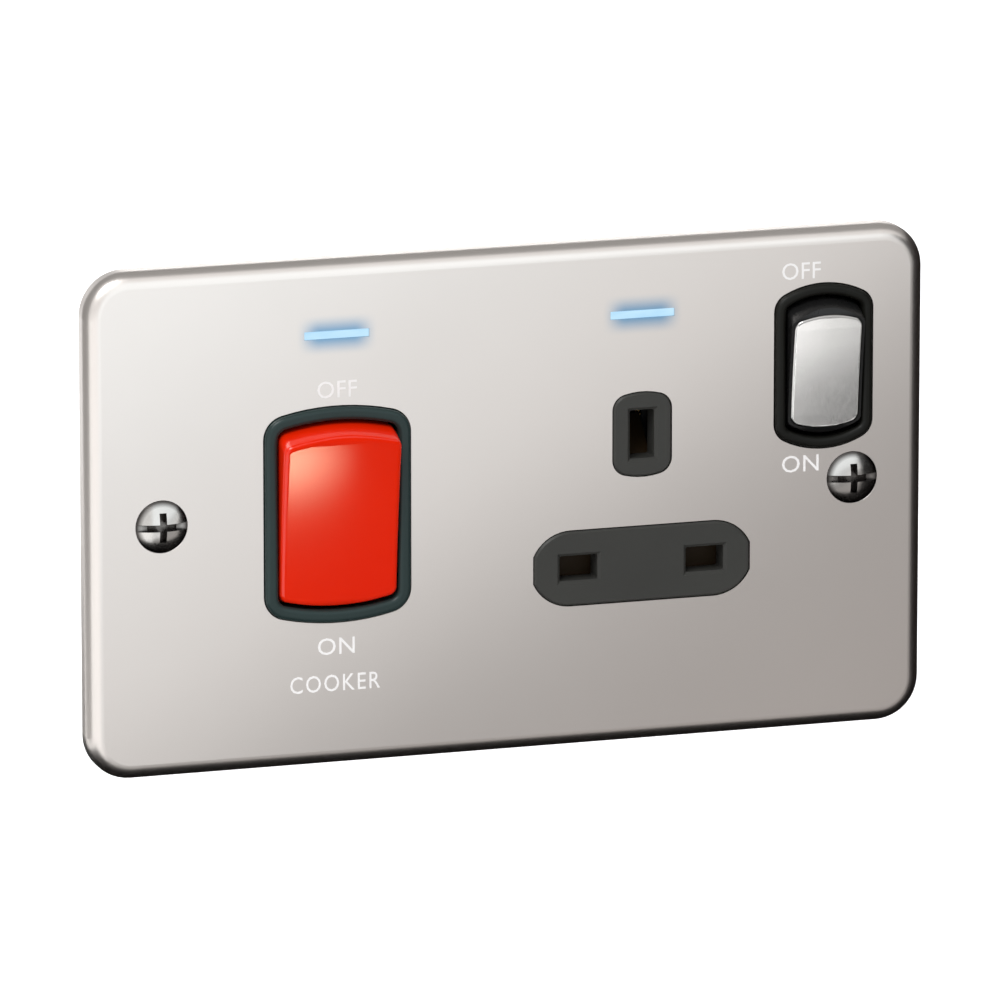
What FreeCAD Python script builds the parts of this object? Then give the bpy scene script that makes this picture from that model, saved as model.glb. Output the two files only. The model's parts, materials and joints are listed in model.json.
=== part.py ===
"""Cooker control unit: a two-gang wall plate with a 45 A double-pole cooker switch, a switched 13 A socket
and two indicator lamps.

Frame, in millimetres: +Z up, +X to the right seen from the front, the front faces -Y.
The origin is in the wall plane, midway between the two fixing screws.
"""

import FreeCAD, Part
import math
import os

OUT_DIR = "parts"

# Wall plate: a drawn steel tray with rolled edges.
PLATE_WIDTH = 146.0
PLATE_HEIGHT = 86.0
PLATE_DEPTH = 4.4
SHEET = 1.2
PLATE_CORNER = 7.5
PLATE_EDGE = 2.6
SCREW_PITCH = 120.6

# Fixing screws: raised countersunk heads on an M3.5 thread.
SCREW_HEAD = 8.8
SCREW_DOME = 1.3
SCREW_THREAD = 3.5
SCREW_NECK = 3.1
SCREW_HOLE = 4.2
SCREW_LENGTH = 25.0
SCREW_BARE = 0.4
HEAD_PLAY = 0.1
RECESS_DEPTH = 1.7
RECESS_SLOT = 1.2
RECESS_CROSS = 5.0

# Places of the two switches and the outlet on the plate.
COOKER_X = -30.0
SOCKET_SWITCH_X = 55.1
SOCKET_SWITCH_Z = 19.6
OUTLET_X = 23.15
EARTH_RISE = 10.0
LAMP_RISE = 30.55

# Cooker switch.
COOKER_BEZEL_WIDTH = 25.2
COOKER_BEZEL_HEIGHT = 36.7
COOKER_BEZEL_CORNER = 4.0
COOKER_BEZEL_END = 40.0
COOKER_BEZEL_RING = 2.2
COOKER_BEZEL_PROUD = 1.0
COOKER_FACE_PROUD = 2.65
COOKER_DISH = 0.45
COOKER_TILT = 7.0
COOKER_REACH = 12.0
COOKER_PLUNGER = 4.0
COOKER_BAR_WIDTH = 6.5
COOKER_BAR_SHEET = 1.2
COOKER_BAR_TILT = 8.0
COOKER_ARM = 9.0
COOKER_TIP = 3.6
COOKER_PIN = 3.0

# Socket switch.
SOCKET_BEZEL_WIDTH = 17.2
SOCKET_BEZEL_HEIGHT = 28.2
SOCKET_BEZEL_CORNER = 3.2
SOCKET_BEZEL_END = 15.0
SOCKET_BEZEL_RING = 1.9
SOCKET_BEZEL_PROUD = 0.8
SOCKET_FACE_PROUD = 2.1
SOCKET_DISH = 0.3
SOCKET_TILT = 7.0
SOCKET_REACH = 9.0
SOCKET_PLUNGER = 3.0
SOCKET_BAR_WIDTH = 4.4
SOCKET_BAR_SHEET = 1.0
SOCKET_BAR_TILT = 9.0
SOCKET_ARM = 6.5
SOCKET_TIP = 2.8
SOCKET_PIN = 2.4
CAP_WIDTH = 12.0
CAP_HEIGHT = 20.0
CAP_CORNER = 1.8
CAP_END = 16.0
CAP_SHEET = 0.9
CAP_PROUD = 0.3
CAP_ROUND = 0.4

# What both switches share.
PIVOT_DEPTH = 3.4
BEZEL_ROUND = 0.8
ROCKER_GAP = 0.25
ROCKER_WALL = 1.6
ROCKER_SKIRT = 2.0
BEARING_PLAY = 0.05
BEARING_WALL = 1.6
CHEEK = 1.8
CONTACT_PLAY = 0.12
TIP_SHEET = 0.7
BARRIER = 1.6
BARRIER_SPACE = 0.65
BAR_END = 2.0
SPRING_WIRE = 0.5
SPRING_TURNS = 5
SPRING_PLAY = 0.15
SPRING_STEPS = 10
WIRE_SIDES = 5
RIDGE_INSET = 0.7
RIDGE_ROUND = 1.5
CROWN_SLOPE = 30.0
ROCKER_ROUND = 0.9
GUIDE_WALL = 1.1
GUIDE_PLAY = 0.12
GUIDE_REACH = 5.0
PLUNGER_FOOT = 1.0
SPRING_SEAT = 0.3

# Socket outlet: pins of 4 mm, at the same pitch across and up.
PIN_PITCH = 22.2
PIN_THICK = 4.0
LIVE_PIN_WIDTH = 6.35
EARTH_PIN_HEIGHT = 8.0
APERTURE_PLAY = 0.15
APERTURE_ROUND = 0.3
APERTURE_DEPTH = 4.2
APERTURE_BEVEL = 0.5
SLEEVE_PLAY = 0.1
SLEEVE_SHEET = 0.9
SLEEVE_LENGTH = 9.0
SLEEVE_SLIT = 1.4
TAG_WIDTH = 5.0
BOSS_PROUD = 0.3
OUTLET_BOSS_WIDTH = 37.8
OUTLET_BOSS_HEIGHT = 12.7
OUTLET_BOSS_ARC = 7.0
OUTLET_BOSS_FLAT = 4.7
EARTH_BOSS_WIDTH = 10.1
EARTH_BOSS_HEIGHT = 14.3
EARTH_BOSS_CORNER = 2.6
EARTH_BOSS_END = 12.0

# Shutter behind the apertures.
SHUTTER_SHEET = 1.8
SHUTTER_MARGIN = 0.45
SHUTTER_PLAY = 0.2
SHUTTER_TRAVEL = 5.6
SHUTTER_GUIDE = 1.4
SHUTTER_SPRING = 2.8
SHUTTER_SPRING_LENGTH = 11.0

# Terminals: brass tunnels clamped by screws from the rear.
BORE = 5.6
BORE_LENGTH = 8.4
TUNNEL_WIDTH = 11.0
TUNNEL_FLOOR = 2.2
TUNNEL_ROOF = 3.0
TUNNEL_GAP = 5.0
CLAMP_SCREW = 5.0
CLAMP_THREAD_LENGTH = 5.4
CLAMP_HEAD = 6.4
CLAMP_HEAD_HEIGHT = 2.0
CLAMP_SLOT = 1.0
WIRE_ENTRY = 7.0

# Mouldings.
FLANGE = 2.0
BODY_CORNER = 2.0
BODY_BEVEL = 0.8
SHELF_RISE = 2.2
WALL = 1.8
REAR_WALL = 3.4
SEAT_PLAY = 0.2
EAR = 8.0
EAR_RISE = 15.0
EAR_SHEET = 2.0
STUD = 3.0
STUD_PLAY = 0.1
STUD_TAIL = 1.2
NUT_FLATS = 5.5
NUT_HEIGHT = 2.4
NUT_SIDES = 6
MODULE_GAP = 2.0
LINER_LIP = 0.2
BODY_TOP = 35.0
SOCKET_BOTTOM = -30.0
FORK_GAP = 0.2

# Lamps.
LAMP_LENGTH = 11.0
LAMP_HEIGHT = 1.2
LAMP_PLAY = 0.1
LAMP_FLANGE = 1.0
LAMP_FLANGE_SHEET = 0.6
BOARD_WIDTH = 16.0
BOARD_HEIGHT = 5.0
BOARD_SHEET = 1.0
CHIP_WIDTH = 3.0
CHIP_HEIGHT = 1.4
CHIP_PITCH = 4.0
LEAD = 1.0
LEAD_BEND = 2.0
BEND_STEPS = 3

# Strips and links between the two switches.
COOKER_STRIP = 1.2
STRIP_SHEET = 0.8
STRIP_WIDTH = 4.0
STRIP_SPACE = 2.6
LINK_RISE = -8.0
SUPPLY_LANE = 48.0
LOAD_LANE = 38.0

FRONT = -PLATE_DEPTH
PLATE_BACK = FRONT + SHEET
FLANGE_BACK = PLATE_BACK + FLANGE
PIVOT = FRONT + PIVOT_DEPTH

# How far a cut runs past its part, the least corner of an outline, and two tests of an edge or a face:
# how close to a plane it lies, and the cosine from which it counts as facing along Y.
PAST = 1.0
LEAST_CORNER = 0.1
NEAR = 1e-6
FACING = 0.5


def at(x, y, z):
    return FreeCAD.Vector(x, y, z)


X_AXIS = at(1, 0, 0)
Y_AXIS = at(0, 1, 0)


def about(middle, width):
    """The two ends of a width about its middle."""
    return (middle - width / 2, middle + width / 2)


def block(x, y, z):
    """Box between three pairs of planes."""
    return Part.makeBox(x[1] - x[0], y[1] - y[0], z[1] - z[0], at(x[0], y[0], z[0]))


def rod(radius, start, end):
    return Part.makeCylinder(radius, (end - start).Length, start, end - start)


def cone(start_radius, end_radius, start, end):
    return Part.makeCone(start_radius, end_radius, (end - start).Length, start, end - start)


def union(shapes):
    return shapes[0].multiFuse(list(shapes[1:])).removeSplitter() if len(shapes) > 1 else shapes[0]


def without(shape, cuts):
    return shape.cut(Part.makeCompound(list(cuts)))


def turned(shape, angle, centre):
    """A copy turned about the X axis through a point."""
    copy = shape.copy()
    copy.rotate(centre, X_AXIS, angle)
    return copy


def prism(edges, y):
    """Closed outline in a plane of constant y, drawn out between two depths."""
    return Part.Face(Part.Wire(edges)).extrude(at(0, y[1] - y[0], 0))


def bowed_edges(size, y, x0, z0):
    """Outline with straight sides, bowed top and bottom, and tangent corner arcs."""
    width, height, corner, end = size
    side = width / 2
    top = height / 2
    corner_x = side - corner
    rise = math.sqrt((end - corner) ** 2 - corner_x ** 2)
    corner_z = top - end + rise
    tilt = math.atan2(rise, corner_x)
    meet = (end * math.cos(tilt), top - end + end * math.sin(tilt))
    bend = (corner_x + corner * math.cos(tilt / 2), corner_z + corner * math.sin(tilt / 2))

    def spot(point, right, up):
        return at(x0 + right * point[0], y, z0 + up * point[1])

    def arc(first, middle, last):
        return Part.Arc(first, middle, last).toShape()

    edge = (side, corner_z)
    return [
        arc(spot(meet, -1, 1), spot((0, top), 1, 1), spot(meet, 1, 1)),
        arc(spot(meet, 1, 1), spot(bend, 1, 1), spot(edge, 1, 1)),
        Part.LineSegment(spot(edge, 1, 1), spot(edge, 1, -1)).toShape(),
        arc(spot(edge, 1, -1), spot(bend, 1, -1), spot(meet, 1, -1)),
        arc(spot(meet, 1, -1), spot((0, top), 1, -1), spot(meet, -1, -1)),
        arc(spot(meet, -1, -1), spot(bend, -1, -1), spot(edge, -1, -1)),
        Part.LineSegment(spot(edge, -1, -1), spot(edge, -1, 1)).toShape(),
        arc(spot(edge, -1, 1), spot(bend, -1, 1), spot(meet, -1, 1)),
    ]


def grown(size, by):
    """The parallel outline outside, or inside for a negative distance."""
    width, height, corner, end = size
    return (width + 2 * by, height + 2 * by, max(corner + by, LEAST_CORNER), end + by)


def bowed_prism(size, y, x0, z0):
    return prism(bowed_edges(size, y[0], x0, z0), y)


def rounded_corners(solid, corner):
    """The solid with its front-to-rear edges rounded."""
    edges = [e for e in solid.Edges if abs(e.tangentAt(e.FirstParameter).y) > FACING]
    return solid.makeFillet(corner, edges)


def rounded_prism(width, height, corner, y, x0, z0):
    """Box with four rounded corners seen from the front."""
    return rounded_corners(block(about(x0, width), y, about(z0, height)), corner)


def edges_at(solid, depth):
    """Edges that lie in the plane of one depth."""
    return [e for e in solid.Edges if all(abs(v.Y - depth) < NEAR for v in e.Vertexes)]


def barrel(size, x0, z0):
    """The outline turned about the pivot line, so that its ends sweep past the bezel at a steady gap."""
    edges = bowed_edges(size, PIVOT, x0, z0)
    side = size[0] / 2
    low = at(x0 - side, PIVOT, z0)
    high = at(x0 + side, PIVOT, z0)
    corner = edges[7].Vertexes[0].Point
    far = edges[1].Vertexes[-1].Point
    upper = [edges[7], edges[0], edges[1]]
    closing = [
        Part.LineSegment(far, high).toShape(),
        Part.LineSegment(high, low).toShape(),
        Part.LineSegment(low, corner).toShape(),
    ]
    return Part.Face(Part.Wire(upper + closing)).revolve(low, X_AXIS, 360)


class Switch:
    """Sizes and depths of one rocker switch, worked out from its driving dimensions."""

    def __init__(self, x, z, poles, bezel, ring, proud, face, dish, tilt):
        self.x = x
        self.z = z
        self.poles = poles
        self.bezel = bezel
        self.proud = proud
        self.opening = grown(bezel, -ring)
        self.rocker = grown(self.opening, -ROCKER_GAP)
        self.face = PIVOT_DEPTH + face
        self.dish = dish
        self.tilt = tilt

    def set_works(self, reach, plunger, bar_width, bar_sheet, bar_tilt, arm, tip, pin, strip):
        self.plunger = plunger / 2
        self.reach = reach
        self.bar_width = bar_width
        self.bar_sheet = bar_sheet
        self.bar_tilt = bar_tilt
        self.arm = arm
        self.tip = tip / 2
        self.pin = pin / 2
        self.strip = strip
        self.guide = self.plunger + GUIDE_PLAY
        self.hinge = PIVOT + reach + CONTACT_PLAY + bar_sheet
        self.stack = 2 * TIP_SHEET + CONTACT_PLAY
        slope = math.radians(bar_tilt)
        self.strip_front = self.hinge + self.stack * math.cos(slope) + arm * math.sin(slope)
        self.strip_back = self.strip_front + strip
        pitch = BARRIER + 2 * BARRIER_SPACE + bar_width
        self.pole_x = [self.x + (i - (self.poles - 1) / 2) * pitch for i in range(self.poles)]

    def pivot(self):
        return at(self.x, PIVOT, self.z)

    def hinge_point(self):
        return at(self.x, self.hinge, self.z)


def rocker_section(switch, depth, back):
    """Side outline of the rocker, drawn across the whole width: a dished face between two straight ridges,
    beyond which the ends fall away. The depth sets it back from the face."""
    half = switch.rocker[1] / 2
    ridge = math.sqrt(half ** 2 - switch.face ** 2) - RIDGE_INSET
    start = switch.x - switch.rocker[0]
    crest = PIVOT - switch.face + depth
    fall = (half - ridge) * math.tan(math.radians(CROWN_SLOPE))

    def spot(y, rise):
        return at(start, y, switch.z + rise)

    dish = Part.Arc(spot(crest, -ridge), spot(crest + switch.dish, 0), spot(crest, ridge)).toShape()
    rest = [spot(crest, ridge), spot(crest + fall, half), spot(back, half), spot(back, -half)]
    rest += [spot(crest + fall, -half), spot(crest, -ridge)]
    outline = Part.Wire([dish] + Part.makePolygon(rest).Edges)
    solid = Part.Face(outline).extrude(at(2 * switch.rocker[0], 0, 0))
    return solid.makeFillet(RIDGE_ROUND, edges_at(solid, crest))


def rim_edges(solid):
    """Edges round the faces that look to the front."""
    found = {}
    for face in solid.Faces:
        u_start, u_end, v_start, v_end = face.ParameterRange
        if face.normalAt((u_start + u_end) / 2, (v_start + v_end) / 2).y < -FACING:
            for edge in face.Edges:
                found.setdefault(edge.hashCode(), []).append(edge)
    return [edges[0] for edges in found.values() if len(edges) == 1]


def rocker_body(switch, sunk):
    """Outside of a rocker, its face sunk by a distance."""
    section = rocker_section(switch, sunk, PIVOT + ROCKER_SKIRT)
    return barrel(switch.rocker, switch.x, switch.z).common(section)


def rocker_hollow(switch):
    """Space inside a rocker: part of a plain cylinder about its pivot line."""
    width, height, corner, end = switch.rocker
    bow = end - math.sqrt(end ** 2 - (width / 2) ** 2)
    half = width / 2 - ROCKER_WALL
    ends = [at(switch.x + way * half, PIVOT, switch.z) for way in (-1, 1)]
    inside = rod(height / 2 - bow - ROCKER_WALL, ends[0], ends[1])
    return inside.common(rocker_section(switch, ROCKER_WALL, PIVOT + ROCKER_SKIRT + PAST))


def hollowed(switch, body):
    """A rocker made hollow, with its trunnions and plunger guides, before it is tipped."""
    shell = body.cut(rocker_hollow(switch))
    side = switch.rocker[0] / 2
    pin_reach = switch.opening[0] / 2 + CHEEK - SEAT_PLAY
    root = PIVOT - switch.face + switch.dish + ROCKER_WALL
    adds = []
    for way in (-1, 1):
        inner_end = at(switch.x + way * (side - ROCKER_WALL), PIVOT, switch.z)
        outer_end = at(switch.x + way * pin_reach, PIVOT, switch.z)
        adds.append(rod(switch.pin, inner_end, outer_end))
    cuts = []
    for x in switch.pole_x:
        seat = at(x, root, switch.z)
        mouth = at(x, PIVOT + GUIDE_REACH, switch.z)
        adds.append(rod(switch.guide + GUIDE_WALL, at(x, root - ROCKER_WALL / 2, switch.z), mouth))
        cuts.append(rod(switch.guide, seat, mouth + at(0, PAST, 0)))
    return without(union([shell] + adds), cuts)


def plunger(switch, x):
    """Moulded plunger with a round nose."""
    nose = PIVOT + switch.reach - switch.plunger
    shank = rod(switch.plunger, at(x, PIVOT + PLUNGER_FOOT, switch.z), at(x, nose, switch.z))
    return shank.fuse(Part.makeSphere(switch.plunger, at(x, nose, switch.z))).removeSplitter()


def coil(radius, length, base, axis):
    """Open compression spring of five-sided wire, with its ends at two planes."""
    rise = length - SPRING_WIRE
    steps = SPRING_TURNS * SPRING_STEPS
    rings = []
    for step in range(steps + 1):
        turn = 2 * math.pi * step / SPRING_STEPS
        height = SPRING_WIRE / 2 + rise * step / steps
        points = []
        for side in range(WIRE_SIDES + 1):
            angle = 2 * math.pi * side / WIRE_SIDES
            reach = radius + SPRING_WIRE / 2 * math.cos(angle)
            level = height + SPRING_WIRE / 2 * math.sin(angle)
            points.append(at(reach * math.cos(turn), reach * math.sin(turn), level))
        rings.append(Part.makePolygon(points))
    spring = Part.makeLoft(rings, True, True)
    spring.Placement = FreeCAD.Placement(base, FreeCAD.Rotation(at(0, 0, 1), axis))
    return spring


def plunger_spring(switch, x):
    seat = PIVOT - switch.face + switch.dish + ROCKER_WALL
    length = PIVOT + PLUNGER_FOOT - seat - SPRING_SEAT
    radius = switch.guide - SPRING_WIRE / 2 - SPRING_PLAY
    return coil(radius, length, at(x, seat + SPRING_SEAT / 2, switch.z), Y_AXIS)


def contact_bar(switch, x):
    """See-saw bar with a groove over the fulcrum, before it is tipped."""
    reach = switch.arm + BAR_END
    y = (switch.hinge - switch.bar_sheet, switch.hinge)
    bar = block(about(x, switch.bar_width), y, about(switch.z, 2 * reach))
    groove = rod(
        switch.strip / 2 + BEARING_PLAY,
        at(x - switch.bar_width, switch.hinge, switch.z),
        at(x + switch.bar_width, switch.hinge, switch.z),
    )
    return bar.cut(groove)


def button(switch, x, depth):
    """Silver contact tip, before it is tipped with the bar."""
    z = switch.z + switch.arm
    return rod(switch.tip, at(x, switch.hinge + depth, z), at(x, switch.hinge + depth + TIP_SHEET, z))


def bar_rest(shape, switch):
    return turned(shape, -switch.bar_tilt, switch.hinge_point())


def fulcrum(switch, x):
    """Upstand of a supply strip, with the round top on which the bar rocks."""
    thick = switch.strip / 2
    z = about(switch.z, switch.strip)
    blade = block(about(x, switch.bar_width), (switch.hinge, switch.strip_back), z)
    ends = [at(end, switch.hinge, switch.z) for end in about(x, switch.bar_width)]
    return blade.fuse(rod(thick, ends[0], ends[1]))


def fixed_pad(switch, x):
    """End of a load strip, bent to lie along the closed bar."""
    y = (switch.hinge + switch.stack, switch.hinge + switch.stack + switch.strip)
    z = (switch.z + switch.arm - switch.tip, switch.z + switch.arm + switch.tip + switch.strip)
    return bar_rest(block(about(x, switch.bar_width), y, z), switch)


def cheeks(switch):
    """Bearing blocks beside the rocker."""
    y = (FLANGE_BACK - FLANGE / 2, PIVOT + switch.pin + BEARING_PLAY + BEARING_WALL)
    z = about(switch.z, 2 * (switch.pin + BEARING_PLAY + BEARING_WALL))
    side = switch.opening[0] / 2
    left = block((switch.x - side - CHEEK, switch.x - side), y, z)
    right = block((switch.x + side, switch.x + side + CHEEK), y, z)
    return [left, right]


def bearing_holes(switch):
    reach = switch.opening[0] / 2 + CHEEK + PAST
    ends = [at(end, PIVOT, switch.z) for end in about(switch.x, 2 * reach)]
    return rod(switch.pin + BEARING_PLAY, ends[0], ends[1])


def bezel_ring(switch):
    """Raised ring round the rocker, rounded on both edges."""
    top = FRONT - switch.proud
    outer = bowed_prism(switch.bezel, (top, FLANGE_BACK), switch.x, switch.z)
    ring = outer.cut(bowed_prism(switch.opening, (top - PAST, FLANGE_BACK + PAST), switch.x, switch.z))
    return ring.makeFillet(BEZEL_ROUND, edges_at(ring, top))


def opening_cut(switch):
    y = (FRONT - switch.proud - PAST, FLANGE_BACK + PAST)
    return bowed_prism(switch.opening, y, switch.x, switch.z)


COOKER_BEZEL = (COOKER_BEZEL_WIDTH, COOKER_BEZEL_HEIGHT, COOKER_BEZEL_CORNER, COOKER_BEZEL_END)
SOCKET_BEZEL = (SOCKET_BEZEL_WIDTH, SOCKET_BEZEL_HEIGHT, SOCKET_BEZEL_CORNER, SOCKET_BEZEL_END)
EARTH_BOSS = (EARTH_BOSS_WIDTH, EARTH_BOSS_HEIGHT, EARTH_BOSS_CORNER, EARTH_BOSS_END)

cooker = Switch(
    COOKER_X, 0.0, 2, COOKER_BEZEL, COOKER_BEZEL_RING, COOKER_BEZEL_PROUD,
    COOKER_FACE_PROUD, COOKER_DISH, COOKER_TILT,
)
cooker.set_works(
    COOKER_REACH, COOKER_PLUNGER, COOKER_BAR_WIDTH, COOKER_BAR_SHEET, COOKER_BAR_TILT,
    COOKER_ARM, COOKER_TIP, COOKER_PIN, COOKER_STRIP,
)
socket = Switch(
    SOCKET_SWITCH_X, SOCKET_SWITCH_Z, 1, SOCKET_BEZEL, SOCKET_BEZEL_RING, SOCKET_BEZEL_PROUD,
    SOCKET_FACE_PROUD, SOCKET_DISH, SOCKET_TILT,
)
socket.set_works(
    SOCKET_REACH, SOCKET_PLUNGER, SOCKET_BAR_WIDTH, SOCKET_BAR_SHEET, SOCKET_BAR_TILT,
    SOCKET_ARM, SOCKET_TIP, SOCKET_PIN, STRIP_SHEET,
)

# Depths and sides that the modules share.
TUNNEL_FRONT = cooker.strip_back
TUNNEL_BACK = TUNNEL_FRONT + TUNNEL_FLOOR + BORE + TUNNEL_ROOF
BORE_DEPTH = TUNNEL_FRONT + TUNNEL_FLOOR + BORE / 2
CAVITY_BACK = TUNNEL_BACK + SEAT_PLAY
BODY_BACK = CAVITY_BACK + REAR_WALL
TUNNEL_PITCH = TUNNEL_WIDTH + TUNNEL_GAP
TUNNEL_X = [COOKER_X - TUNNEL_PITCH / 2, COOKER_X + TUNNEL_PITCH / 2]
LOAD_END = BODY_TOP - WALL - SEAT_PLAY
LOAD_START = LOAD_END - BORE_LENGTH
SUPPLY_START = LINK_RISE - STRIP_WIDTH / 2 - STRIP_SPACE
SUPPLY_END = SUPPLY_START - BORE_LENGTH
COOKER_BOTTOM = SUPPLY_END - SEAT_PLAY - WALL
COOKER_HALF = max(
    (TUNNEL_PITCH + TUNNEL_WIDTH) / 2 + SEAT_PLAY,
    cooker.opening[0] / 2 + CHEEK + SEAT_PLAY,
) + WALL
COOKER_SIDES = about(COOKER_X, 2 * COOKER_HALF)
SOCKET_LEFT = COOKER_SIDES[1] + 2 * EAR + MODULE_GAP
SOCKET_STEP_X = SUPPLY_LANE + STRIP_WIDTH / 2 + SEAT_PLAY + WALL
SOCKET_RIGHT = SOCKET_SWITCH_X + socket.opening[0] / 2 + CHEEK + SEAT_PLAY + WALL
SOCKET_STEP_Z = SOCKET_SWITCH_Z - socket.opening[1] / 2 - SEAT_PLAY - WALL
LINK_Z = about(LINK_RISE, STRIP_WIDTH)
NEAR_LINK = (cooker.strip_back, cooker.strip_back + STRIP_SHEET)
FAR_LINK = (NEAR_LINK[1] + STRIP_SPACE, NEAR_LINK[1] + STRIP_SPACE + STRIP_SHEET)
LIVE_X = OUTLET_X + PIN_PITCH / 2
NEUTRAL_X = OUTLET_X - PIN_PITCH / 2
PIN_RISE = EARTH_RISE - PIN_PITCH
SHUTTER_FRONT = FRONT - BOSS_PROUD + APERTURE_DEPTH + SHUTTER_PLAY
SHUTTER_BACK = SHUTTER_FRONT + SHUTTER_SHEET
SLEEVE_FRONT = SHUTTER_BACK + 2 * SHUTTER_PLAY
RAMP_BACK = SHUTTER_FRONT + SHUTTER_TRAVEL
EARTH_FRONT = RAMP_BACK + 2 * SHUTTER_PLAY
EARTH_TUNNEL_X = SOCKET_LEFT + WALL + SEAT_PLAY + TUNNEL_WIDTH / 2
STRAP = (TUNNEL_FRONT - STRIP_SHEET, TUNNEL_FRONT)

COOKER_EARS = [
    (COOKER_SIDES[0] - EAR / 2, EAR_RISE),
    (COOKER_SIDES[0] - EAR / 2, -EAR_RISE),
    (COOKER_SIDES[1] + EAR / 2, EAR_RISE),
    (COOKER_SIDES[1] + EAR / 2, -EAR_RISE),
]
SOCKET_EARS = [
    (SOCKET_LEFT - EAR / 2, EAR_RISE),
    (SOCKET_LEFT - EAR / 2, -EAR_RISE),
    (SOCKET_STEP_X + EAR / 2, -EAR_RISE),
]


def cooker_outline(y, by):
    """Body of the cooker module between two depths, grown by a distance."""
    x = (COOKER_SIDES[0] - by, COOKER_SIDES[1] + by)
    return rounded_corners(block(x, y, (COOKER_BOTTOM - by, BODY_TOP + by)), BODY_CORNER + by)


def socket_outline(y, by):
    """Body of the socket module, stepped round the right fixing screw."""
    main = block((SOCKET_LEFT - by, SOCKET_STEP_X + by), y, (SOCKET_BOTTOM - by, BODY_TOP + by))
    wing = block((SOCKET_STEP_X - EAR, SOCKET_RIGHT + by), y, (SOCKET_STEP_Z - by, BODY_TOP + by))
    return rounded_corners(union([main, wing]), BODY_CORNER + by)


def ears(places, y, by):
    """Fixing ears beside a body, between two depths, grown by a distance."""
    width = EAR + 2 * by
    return [block(about(x, width), y, about(z, width)) for x, z in places]


def stud_holes(places, y):
    return [rod(STUD / 2 + STUD_PLAY, at(x, y[0], z), at(x, y[1], z)) for x, z in places]


def outlet_edges(grow, y):
    """Outline of the live and neutral boss: two long sides and blunt round ends."""
    side = OUTLET_BOSS_WIDTH / 2 + grow
    top = OUTLET_BOSS_HEIGHT / 2 + grow
    arc = OUTLET_BOSS_ARC + grow
    flat = OUTLET_BOSS_FLAT / 2
    drop = flat - (top - arc)
    run = math.sqrt(arc ** 2 - drop ** 2)
    turn = (math.pi / 2 + math.asin(drop / arc)) / 2
    middle_x = side - run + arc * math.cos(turn)
    middle_z = top - arc + arc * math.sin(turn)

    def spot(x, z):
        return at(OUTLET_X + x, y, PIN_RISE + z)

    edges = []
    for way in (1, -1):
        start = spot(-way * (side - run), way * top)
        high = spot(way * (side - run), way * top)
        upper = spot(way * side, way * flat)
        lower = spot(way * side, -way * flat)
        end = spot(way * (side - run), -way * top)
        edges.append(Part.LineSegment(start, high))
        edges.append(Part.Arc(high, spot(way * middle_x, way * middle_z), upper))
        edges.append(Part.LineSegment(upper, lower))
        edges.append(Part.Arc(lower, spot(way * middle_x, -way * middle_z), end))
    return [edge.toShape() for edge in edges]


def lamp_slot(x, grow, y):
    return block(about(x, LAMP_LENGTH + 2 * grow), y, about(LAMP_RISE, LAMP_HEIGHT + 2 * grow))


def screw_places():
    return about(0.0, SCREW_PITCH)


def countersink(x, play):
    """Cone of a fixing screw's head, from the plate's face to the neck."""
    head = SCREW_HEAD / 2 + play
    neck = SCREW_NECK / 2
    return cone(head, neck, at(x, FRONT, 0), at(x, FRONT + head - neck, 0))


def face_plate():
    """Drawn tray with its cut-outs and the studs welded behind it."""
    outer = rounded_prism(PLATE_WIDTH, PLATE_HEIGHT, PLATE_CORNER, (FRONT, 0), 0, 0)
    outer = outer.makeFillet(PLATE_EDGE, edges_at(outer, FRONT))
    inside = rounded_prism(
        PLATE_WIDTH - 2 * SHEET, PLATE_HEIGHT - 2 * SHEET, PLATE_CORNER - SHEET, (PLATE_BACK, PAST), 0, 0)
    inside = inside.makeFillet(PLATE_EDGE - SHEET, edges_at(inside, PLATE_BACK))
    through = (FRONT - PAST, PLATE_BACK + PAST)
    cuts = [
        inside,
        bowed_prism(grown(COOKER_BEZEL, SEAT_PLAY), through, cooker.x, cooker.z),
        bowed_prism(grown(SOCKET_BEZEL, SEAT_PLAY), through, socket.x, socket.z),
        bowed_prism(grown(EARTH_BOSS, SEAT_PLAY), through, OUTLET_X, EARTH_RISE),
        prism(outlet_edges(SEAT_PLAY, through[0]), through),
        lamp_slot(COOKER_X, LAMP_PLAY, through),
        lamp_slot(OUTLET_X, LAMP_PLAY, through),
    ]
    cuts += [countersink(x, HEAD_PLAY) for x in screw_places()]
    plate = without(outer, cuts)
    tail = FLANGE_BACK + EAR_SHEET + NUT_HEIGHT + STUD_TAIL
    studs = [rod(STUD / 2, at(x, PLATE_BACK, z), at(x, tail, z)) for x, z in COOKER_EARS + SOCKET_EARS]
    return union([plate] + studs)


def plate_liner():
    """Moulded frame that backs the tray round the modules."""
    play = SHEET + SEAT_PLAY
    width = PLATE_WIDTH - 2 * play
    height = PLATE_HEIGHT - 2 * play
    frame = rounded_prism(width, height, PLATE_CORNER - play, (PLATE_BACK, -LINER_LIP), 0, 0)
    frame = frame.makeChamfer(PLATE_EDGE - SHEET, edges_at(frame, PLATE_BACK))
    through = (PLATE_BACK - PAST, PAST)
    cuts = [cooker_outline(through, SEAT_PLAY), socket_outline(through, SEAT_PLAY)]
    cuts += ears(COOKER_EARS + SOCKET_EARS, through, SEAT_PLAY)
    for x in screw_places():
        cuts.append(countersink(x, HEAD_PLAY))
        cuts.append(rod(SCREW_HOLE / 2, at(x, through[0], 0), at(x, through[1], 0)))
    return without(frame, cuts)


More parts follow.
